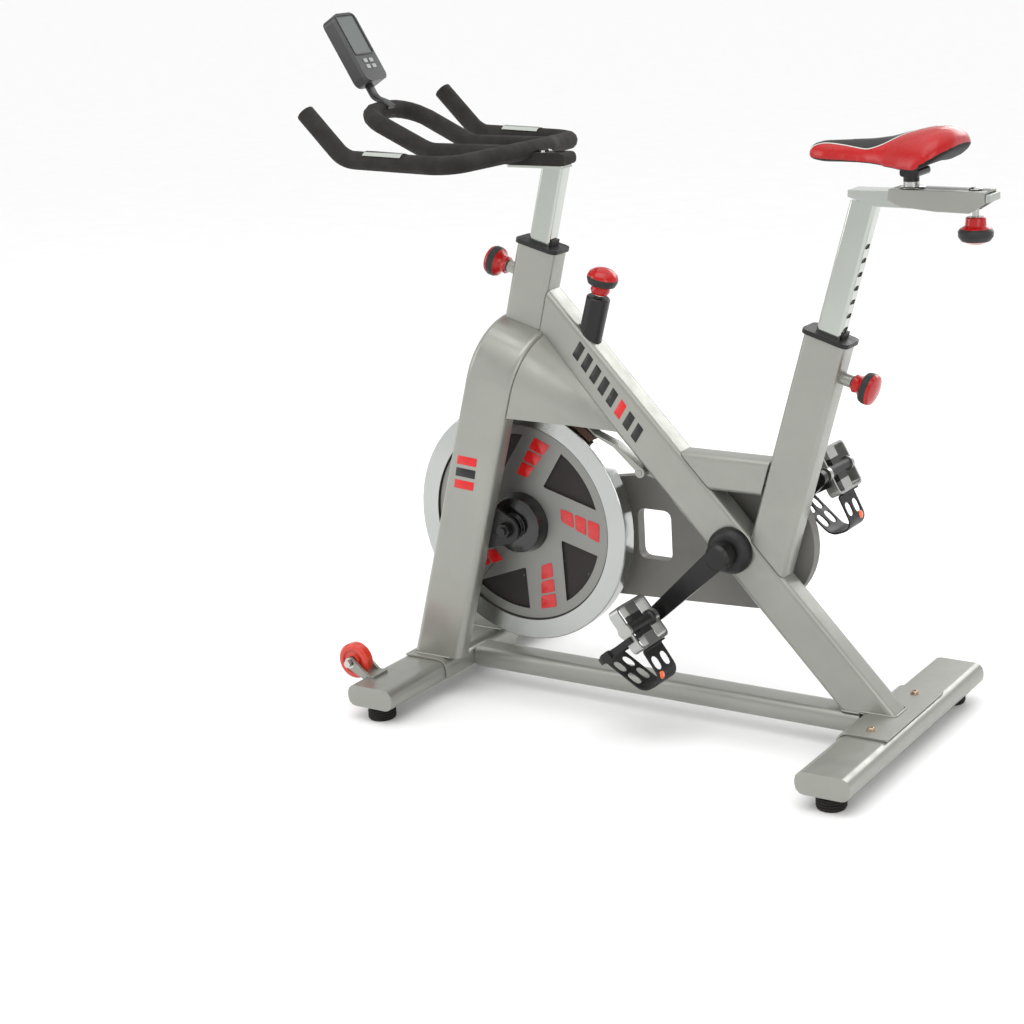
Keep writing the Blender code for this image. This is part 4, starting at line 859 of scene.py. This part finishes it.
def add_cover_screws(black):
    """Small screws round the edge of the belt cover."""
    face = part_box("belt_cover_outer")[1].y - SCREW_SINK
    for i, (x, z) in enumerate(COVER_SCREWS, 1):
        bolt(f"cover_screw_{i}", Vector((x + DX, face, z)), ACROSS, *COVER_SCREW, "frame", black,
             "black_metal")


# The console's screen and the bezel round it: half widths, half heights and corners, and how they sit.
SCREEN_HALF, SCREEN_CORNER = (0.0225, 0.0375), 0.003
BEZEL_HALF, BEZEL_CORNER = (0.0262, 0.0412), 0.004
SCREEN_RISE, SCREEN_DEPTH = 0.085, -0.0026
SCREEN_THICKNESS = 0.0012
BEZEL_RADIUS, BEZEL_LIFT = 0.0012, 0.0028


def rectangle(half, corner):
    """The outline of a rectangle with rounded corners, from its half sizes."""
    x, y = half
    return rounded([(-x, -y), (x, -y), (x, y), (-x, y)], corner)


def add_console_face(bezel_material, glass_material):
    """The console's raised bezel and its screen."""
    middle = CONSOLE + CONSOLE_BACK * SCREEN_DEPTH + CONSOLE_UP * SCREEN_RISE
    place = placed(middle, ACROSS, CONSOLE_UP, CONSOLE_BACK)
    outline = rectangle(SCREEN_HALF, SCREEN_CORNER)
    mesh = plate_mesh("console_screen", outline, SCREEN_THICKNESS, place, 0.0004, 2)
    add_piece("console_screen", mesh, "handlebar", glass_material)
    line = [place @ Vector((x, y, BEZEL_LIFT)) for x, y in rectangle(BEZEL_HALF, BEZEL_CORNER)]
    mesh = tube_mesh("console_bezel", line, BEZEL_RADIUS, closed=True)
    add_piece("console_bezel", mesh, "handlebar", bezel_material)


def surface_of(piece):
    """The piece's surface as it is shown, for dropping points on."""
    return BVHTree.FromObject(piece, bpy.context.evaluated_depsgraph_get())


def top_of(surface, x, y):
    """The point of a surface that is seen from straight above, or None beside it."""
    return surface.ray_cast(Vector((x, y, ABOVE_ALL)), -UP)[0]


MOUNT_BOLT_X, MOUNT_BOLT_ASIDE = -0.1895, 0.011


def add_mount_bolts(steel):
    """Socket bolts through the top of the handlebar mount."""
    surface = surface_of(nodes["handlebar"])
    for i, side in enumerate((-1, 1), 1):
        spot = top_of(surface, MOUNT_BOLT_X, side * MOUNT_BOLT_ASIDE)
        bolt(f"mount_bolt_{i}", spot, UP, *MOUNT_BOLT, "handlebar", steel)


REFLECTOR_SPOTS = {"left": Vector((0.0985, -0.1600, 0.1380)), "right": Vector((0.3322, 0.1575, 0.3660))}
REFLECTOR_FACES = Vector((0.97, 0, 0.24)).normalized()


def add_reflectors(material):
    """A round orange reflector on the toe of each clip."""
    profile = [(0, -0.0020), (0.0072, -0.0020), (0.0072, 0.0004), (0.0062, 0.0014), (0.0035, 0.0018),
               (0, 0.0020)]
    for side, spot in REFLECTOR_SPOTS.items():
        mesh = turned_mesh(f"reflector_{side}", profile, spot, REFLECTOR_FACES, 24)
        add_piece(f"reflector_{side}", mesh, f"pedal_{side}", material)


CLAMP_WASHER_LIFT = 0.0003
BRAKE_WASHER_DROP = 0.0345


def add_washers(steel):
    """Bright washers under the saddle clamp and on top of the brake housing."""
    flat = [(0, 0), (0.0205, 0), (0.0210, 0.0006), (0.0205, 0.0016), (0, 0.0016)]
    spot = Vector((SADDLE_CLAMP.x, 0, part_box("saddle_clamp")[0].z + CLAMP_WASHER_LIFT))
    mesh = turned_mesh("clamp_washer", flat, spot, UP)
    add_piece("clamp_washer", mesh, "seat_slider", steel)
    ring = [(0.0105, 0), (0.0195, 0), (0.0200, 0.0006), (0.0195, 0.0014), (0.0105, 0.0014), (0.0105, 0)]
    mesh = turned_mesh("brake_washer", ring, BRAKE_KNOB - BRAKE_UP * BRAKE_WASHER_DROP, BRAKE_UP)
    add_piece("brake_washer", mesh, "frame", steel)


# Trim stripes: slanted bars in a row down the left of the diagonal tube, and three on the fork leg.
STRIPE_THICKNESS = 0.0003
STRIPE_CORNER = 0.0012
TUBE_STRIPE_START = Vector((-0.1240 + DX, -0.0251, 0.6655))
TUBE_STRIPE_END = Vector((-0.0105 + DX, -0.0251, 0.5265))
TUBE_STRIPES = 8
RED_STRIPE = 5
TUBE_STRIPE_LENGTH, TUBE_STRIPE_LEAN = 0.030, 0.0045
TUBE_STRIPE_SHARE = 0.62  # of the pitch, the rest being the gap
FORK_STRIPE = Vector((-0.3310 + DX, -0.1051, 0.4400))
FORK_DOWN = Vector((-0.22, 0, -1)).normalized()
FORK_STRIPE_PITCH = 0.0235
FORK_STRIPE_LENGTH, FORK_STRIPE_WIDTH, FORK_STRIPE_LEAN = 0.042, 0.0165, 0.003


def stripe(name, middle, along, length, width, lean, material):
    """A slanted bar flat on the machine's left side: length is across the row, width along it."""
    corners = []
    for u, v in ((-1, -1), (1, -1), (1, 1), (-1, 1)):
        corners.append((u * width / 2 + v * lean, v * length / 2))
    place = placed(middle, along, ACROSS.cross(along), -ACROSS)
    mesh = plate_mesh(name, rounded(corners, STRIPE_CORNER, 2), STRIPE_THICKNESS, place, 0.0001, 1)
    add_piece(name, mesh, "frame", material)


def add_stripes():
    """Plain slanted trim bars, with no lettering or mark."""
    dark = finish("stripe_black", sRGB(24, 23, 24), 0.42, grain=900, bump=0.05, patch=0.1,
                  wear=sRGB(90, 90, 88))
    red = finish("stripe_red", sRGB(204, 26, 28), 0.4, grain=900, bump=0.05, patch=0.08,
                 wear=sRGB(214, 90, 84))
    run = TUBE_STRIPE_END - TUBE_STRIPE_START
    along = run.normalized()
    width = run.length / (TUBE_STRIPES - 1) * TUBE_STRIPE_SHARE
    for i in range(TUBE_STRIPES):
        middle = TUBE_STRIPE_START + run * i / (TUBE_STRIPES - 1)
        material = red if i == RED_STRIPE else dark
        stripe(f"tube_stripe_{i + 1}", middle, along, TUBE_STRIPE_LENGTH, width, TUBE_STRIPE_LEAN, material)
    for i, material in enumerate((red, dark, red)):
        middle = FORK_STRIPE + FORK_DOWN * (i - 1) * FORK_STRIPE_PITCH
        stripe(f"fork_stripe_{i + 1}", middle, FORK_DOWN, FORK_STRIPE_LENGTH, FORK_STRIPE_WIDTH,
               FORK_STRIPE_LEAN, material)


# Weld beads: where they run, from front to rear and from the inside of a leg to its outside.
WELD_RADIUS = 0.0019
WELD_STEP = 0.0022
WELD_RIPPLE = 0.0005
WELD_CORNER = 0.009
PLATE_TOP = 0.0725
RAIL_TOP = 0.0684
FRONT_PLATE_REAR = -0.3985
REAR_PLATE_FRONT = 0.4087
TUBE_FOOT, TUBE_HALF_WIDTH = (0.3715, 0.4760), 0.025
LEG_FOOT, LEG_INSIDE, LEG_OUTSIDE = (-0.4830, -0.3785), 0.065, 0.105


def weld_outline(corners):
    """Close points along the rounded outline through these corners, for a bead to follow."""
    outline = rounded(corners, WELD_CORNER, 6)
    line = []
    for here, there in zip(outline, outline[1:] + outline[:1]):
        count = max(1, round(math.dist(here, there) / WELD_STEP))
        line += [tuple(Vector(here).lerp(Vector(there), k / count)) for k in range(count)]
    return line


def add_bead(name, line, closed, material):
    """A rippled weld bead through these points."""
    ripple = [place + UP * WELD_RIPPLE * (i % 2) for i, place in enumerate(line)]
    mesh = tube_mesh(name, ripple, WELD_RADIUS, 2, closed)
    add_piece(name, mesh, "frame", material)


def add_welds(material):
    """Beads where the diagonal tube and the fork's legs stand on their saddle plates."""
    front, rear = TUBE_FOOT
    half = TUBE_HALF_WIDTH
    outline = weld_outline([(front, -half), (rear, -half), (rear, half), (front, half)])
    line = [Vector((x, y, PLATE_TOP if x > REAR_PLATE_FRONT else RAIL_TOP)) for x, y in outline]
    add_bead("weld_rear_tube", line, True, material)
    front, rear = LEG_FOOT
    for side, name in SIDES:
        inner, outer = side * LEG_INSIDE, side * LEG_OUTSIDE
        outline = weld_outline([(rear, inner), (front, inner), (front, outer), (rear, outer)])
        line = [Vector((x, y, PLATE_TOP)) for x, y in outline if x < FRONT_PLATE_REAR]
        add_bead(f"weld_fork_{name}", line, False, material)


# ---------------------------------------------------------------- camera and studio

# The camera's direction as seen from the machine, in radians, its roll, and its lens in millimetres.
CAMERA_TURN, CAMERA_RISE, CAMERA_ROLL = 0.5448, 0.2426, -0.0442
CAMERA_PLACE = Vector((1.8488 + DX, -3.0505, 1.4385))
SENSOR, LENS = 36, 73.07
SHIFT_X, SHIFT_Y = -0.1335, -0.0957


def add_camera():
    """A three-quarter view from the machine's left rear, framed on the whole of it, with a small roll."""
    turn, rise, roll = CAMERA_TURN, CAMERA_RISE, CAMERA_ROLL
    back = Vector((math.sin(turn) * math.cos(rise), -math.cos(turn) * math.cos(rise), math.sin(rise)))
    right = (-back).cross(UP).normalized()
    up = right.cross(-back)
    level = math.cos(roll) * right + math.sin(roll) * up
    upright = -math.sin(roll) * right + math.cos(roll) * up
    data = bpy.data.cameras.new("camera")
    data.sensor_width = SENSOR
    data.lens = LENS
    data.shift_x = SHIFT_X
    data.shift_y = SHIFT_Y
    camera = new_object("camera", data)
    camera.matrix_world = placed(CAMERA_PLACE, level, upright, back)
    bpy.context.scene.camera = camera


STUDIO_MIDDLE = Vector((0, 0, 0.6))
FLOOR_REACH = 60
# name, place, width and height, power
SOFT_BOXES = (
    ("softbox_top", (0.2, -0.8, 3.4), (2.6, 2.0), 28),
    ("softbox_left", (-3.2, -2.2, 1.9), (1.6, 2.4), 32),
    ("softbox_right", (3.0, -2.0, 1.7), (1.2, 2.2), 20),
    ("softbox_back", (0.5, 3.2, 2.2), (2.4, 1.4), 40),
)
# The room is brightest from the floor up to a low height, and dims to the share above a high one.
ROOM_BRIGHT, ROOM_DIM = (0.12, 1.0), (0.55, 0.55)
CEILING_STRENGTH, CEILING_SPREAD = 1.5, math.radians(100)


def add_floor():
    """A wide plain pale floor."""
    bm = bmesh.new()
    bmesh.ops.create_grid(bm, x_segments=8, y_segments=8, size=FLOOR_REACH)
    mesh = bpy.data.meshes.new("studio_floor")
    bm.to_mesh(mesh)
    bm.free()
    floor = new_object("studio_floor", mesh)
    pale = finish("studio_floor", sRGB(243, 243, 243), 0.85, grain=30, bump=0.01, patch=0.01)
    mesh.materials.append(pale)


def add_room():
    """White surroundings, bright at the height of the machine and dimmer overhead."""
    world = bpy.data.worlds.new("studio_room")
    bpy.context.scene.world = world
    world.use_nodes = True
    tree = world.node_tree
    room = tree.nodes["Background"]
    look = tree.nodes.new("ShaderNodeTexCoord").outputs["Generated"]
    height = tree.nodes.new("ShaderNodeSeparateXYZ")
    fade = tree.nodes.new("ShaderNodeMapRange")
    tree.links.new(look, height.inputs[0])
    tree.links.new(height.outputs["Z"], fade.inputs["Value"])
    for end, (rise, strength) in (("Min", ROOM_BRIGHT), ("Max", ROOM_DIM)):
        fade.inputs[f"From {end}"].default_value = rise
        fade.inputs[f"To {end}"].default_value = strength
    tree.links.new(fade.outputs[0], room.inputs["Strength"])
    room.inputs["Color"].default_value = (1, 1, 1, 1)


def add_lights():
    """A broad even light from overhead, and four soft boxes: above, left, right and behind."""
    ceiling = bpy.data.lights.new("ceiling", "SUN")
    ceiling.energy = CEILING_STRENGTH
    ceiling.angle = CEILING_SPREAD
    new_object("ceiling", ceiling)
    for name, place, size, power in SOFT_BOXES:
        data = bpy.data.lights.new(name, "AREA")
        data.shape = "RECTANGLE"
        data.size, data.size_y = size
        data.energy = power
        light = new_object(name, data)
        light.location = place
        light.rotation_mode = "QUATERNION"
        light.rotation_quaternion = (STUDIO_MIDDLE - Vector(place)).to_track_quat("-Z", "Y")


def add_studio():
    """The floor, the room and the lights, with colours shown as they are."""
    add_floor()
    add_room()
    add_lights()
    bpy.context.scene.view_settings.view_transform = "Standard"


# ---------------------------------------------------------------- saddle

SADDLE_CAP = 0.005
HELD_BELOW = 1.0205
SADDLE_VOXEL = 0.0042
CLOTH_PRESSURE = 4
CLOTH_FRAMES = 20


def saddle_shell():
    """A copy of the CAD saddle, joined up, as the pattern that the cover is sewn to."""
    mesh = nodes["saddle"].data.copy()
    bm = bmesh.new()
    bm.from_mesh(mesh)
    bmesh.ops.remove_doubles(bm, verts=bm.verts, dist=SAME_POINT)
    bm.to_mesh(mesh)
    bm.free()
    mesh.materials.clear()
    return new_object("saddle_pad", mesh)


def apply_modifiers(piece):
    """Puts what the modifiers show into the piece's own mesh, and drops them."""
    bpy.context.view_layer.update()
    shown = piece.evaluated_get(bpy.context.evaluated_depsgraph_get())
    mesh = bpy.data.meshes.new_from_object(shown)
    piece.modifiers.clear()
    piece.data = mesh


def inflate(piece):
    """Lets the cover press out under its padding, and caps how far each point may move."""
    before = [v.co.copy() for v in piece.data.vertices]
    held = piece.vertex_groups.new(name="held")
    held.add([v.index for v in piece.data.vertices if v.co.z < HELD_BELOW], 1.0, "REPLACE")
    cloth = piece.modifiers.new("cover", "CLOTH")
    cloth.settings.use_pressure = True
    cloth.settings.uniform_pressure_force = CLOTH_PRESSURE
    cloth.settings.vertex_group_mass = "held"
    cloth.settings.tension_stiffness = 40
    cloth.settings.bending_stiffness = 4
    cloth.settings.effector_weights.gravity = 0
    cloth.point_cache.frame_start, cloth.point_cache.frame_end = 1, CLOTH_FRAMES
    for step in range(1, CLOTH_FRAMES + 1):
        bpy.context.scene.frame_set(step)
    apply_modifiers(piece)
    for vertex, start in zip(piece.data.vertices, before):
        move = vertex.co - start
        if move.length > SADDLE_CAP:
            vertex.co = start + move.normalized() * SADDLE_CAP
    bpy.context.scene.frame_set(1)


def relax(piece, rounds):
    """Evens out the piece's surface, this many times over."""
    smooth = piece.modifiers.new("relax", "SMOOTH")
    smooth.factor = 0.5
    smooth.iterations = rounds


def add_saddle(material, piping_material):
    """The padded saddle in place of its CAD node, pressed out by its padding, with its piping."""
    piece = saddle_shell()
    remesh = piece.modifiers.new("even", "REMESH")
    remesh.mode = "VOXEL"
    remesh.voxel_size = SADDLE_VOXEL
    relax(piece, 8)
    apply_modifiers(piece)
    inflate(piece)
    relax(piece, 4)
    fine = piece.modifiers.new("fine", "SUBSURF")
    fine.levels = fine.render_levels = 1
    apply_modifiers(piece)
    piece.data.materials.append(material)
    piece.data.shade_smooth()
    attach(piece, "saddle")
    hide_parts("saddle")
    add_piping(piece, piping_material)


PIPING_RADIUS = 0.0009
PIPING_LIFT = 0.35  # of its radius, above the cover
PIPING_REACH = (0.337, 0.553)
PIPING_STEPS = 60


def share(x, span):
    """How far x is through a span, eased at both ends and held to 0 before it and 1 after it."""
    t = min(1.0, max(0.0, (x - span[0]) / (span[1] - span[0])))
    return t * t * (3 - 2 * t)


def piping_side(x):
    """Half the width of the black top at x along the saddle, where the piping runs."""
    swell = TOP_NOSE + (TOP_MIDDLE - TOP_NOSE) * share(x, TOP_SWELLS)
    return swell * (1 + (TOP_TAIL / TOP_MIDDLE - 1) * share(x, TOP_CLOSES))


def add_piping(saddle, material):
    """A light piping either side of the black top, from the nose to the tail."""
    surface = surface_of(saddle)
    low, high = PIPING_REACH
    for side, name in SIDES:
        line = []
        for i in range(PIPING_STEPS + 1):
            x = low + (high - low) * i / PIPING_STEPS
            spot = top_of(surface, x + DX, side * piping_side(x))
            if spot is not None:
                line.append(spot + UP * PIPING_RADIUS * PIPING_LIFT)
        mesh = tube_mesh(f"saddle_piping_{name}", line, PIPING_RADIUS)
        add_piece(f"saddle_piping_{name}", mesh, "saddle", material)


# ---------------------------------------------------------------- build

finishes = dress_cad_nodes()
steel, black = finishes["bright_steel"], finishes["black_metal"]
piping = finish("piping", PIPING, 0.45, grain=900, bump=0.1, patch=0.06, wear=sRGB(160, 150, 140))
reflector = finish("reflector", REFLECTOR, 0.18, grain=900, bump=0.1, patch=0.08, wear=sRGB(240, 130, 70),
                   coat=0.6)
bezel = finish("bezel", BEZEL_GREY, 0.34, grain=900, bump=0.08, patch=0.06, wear=scaled(BEZEL_GREY, 1.3))
glass = finish("screen_glass", SCREEN_GREY, 0.14, grain=200, bump=0.01, patch=0.05, coat=0.6)
add_saddle(saddle_finish(), piping)
add_flashes()
add_plate_bolts(steel_finish("plated_bolts", sRGB(176, 156, 134), 0.3))
add_crank_bolts(steel)
add_wheel_bolts(steel)
add_cover_screws(black)
add_mount_bolts(steel)
add_washers(steel)
add_reflectors(reflector)
add_stripes()
add_welds(finishes["frame_paint"])
add_console_face(bezel, glass)
add_camera()
add_studio()
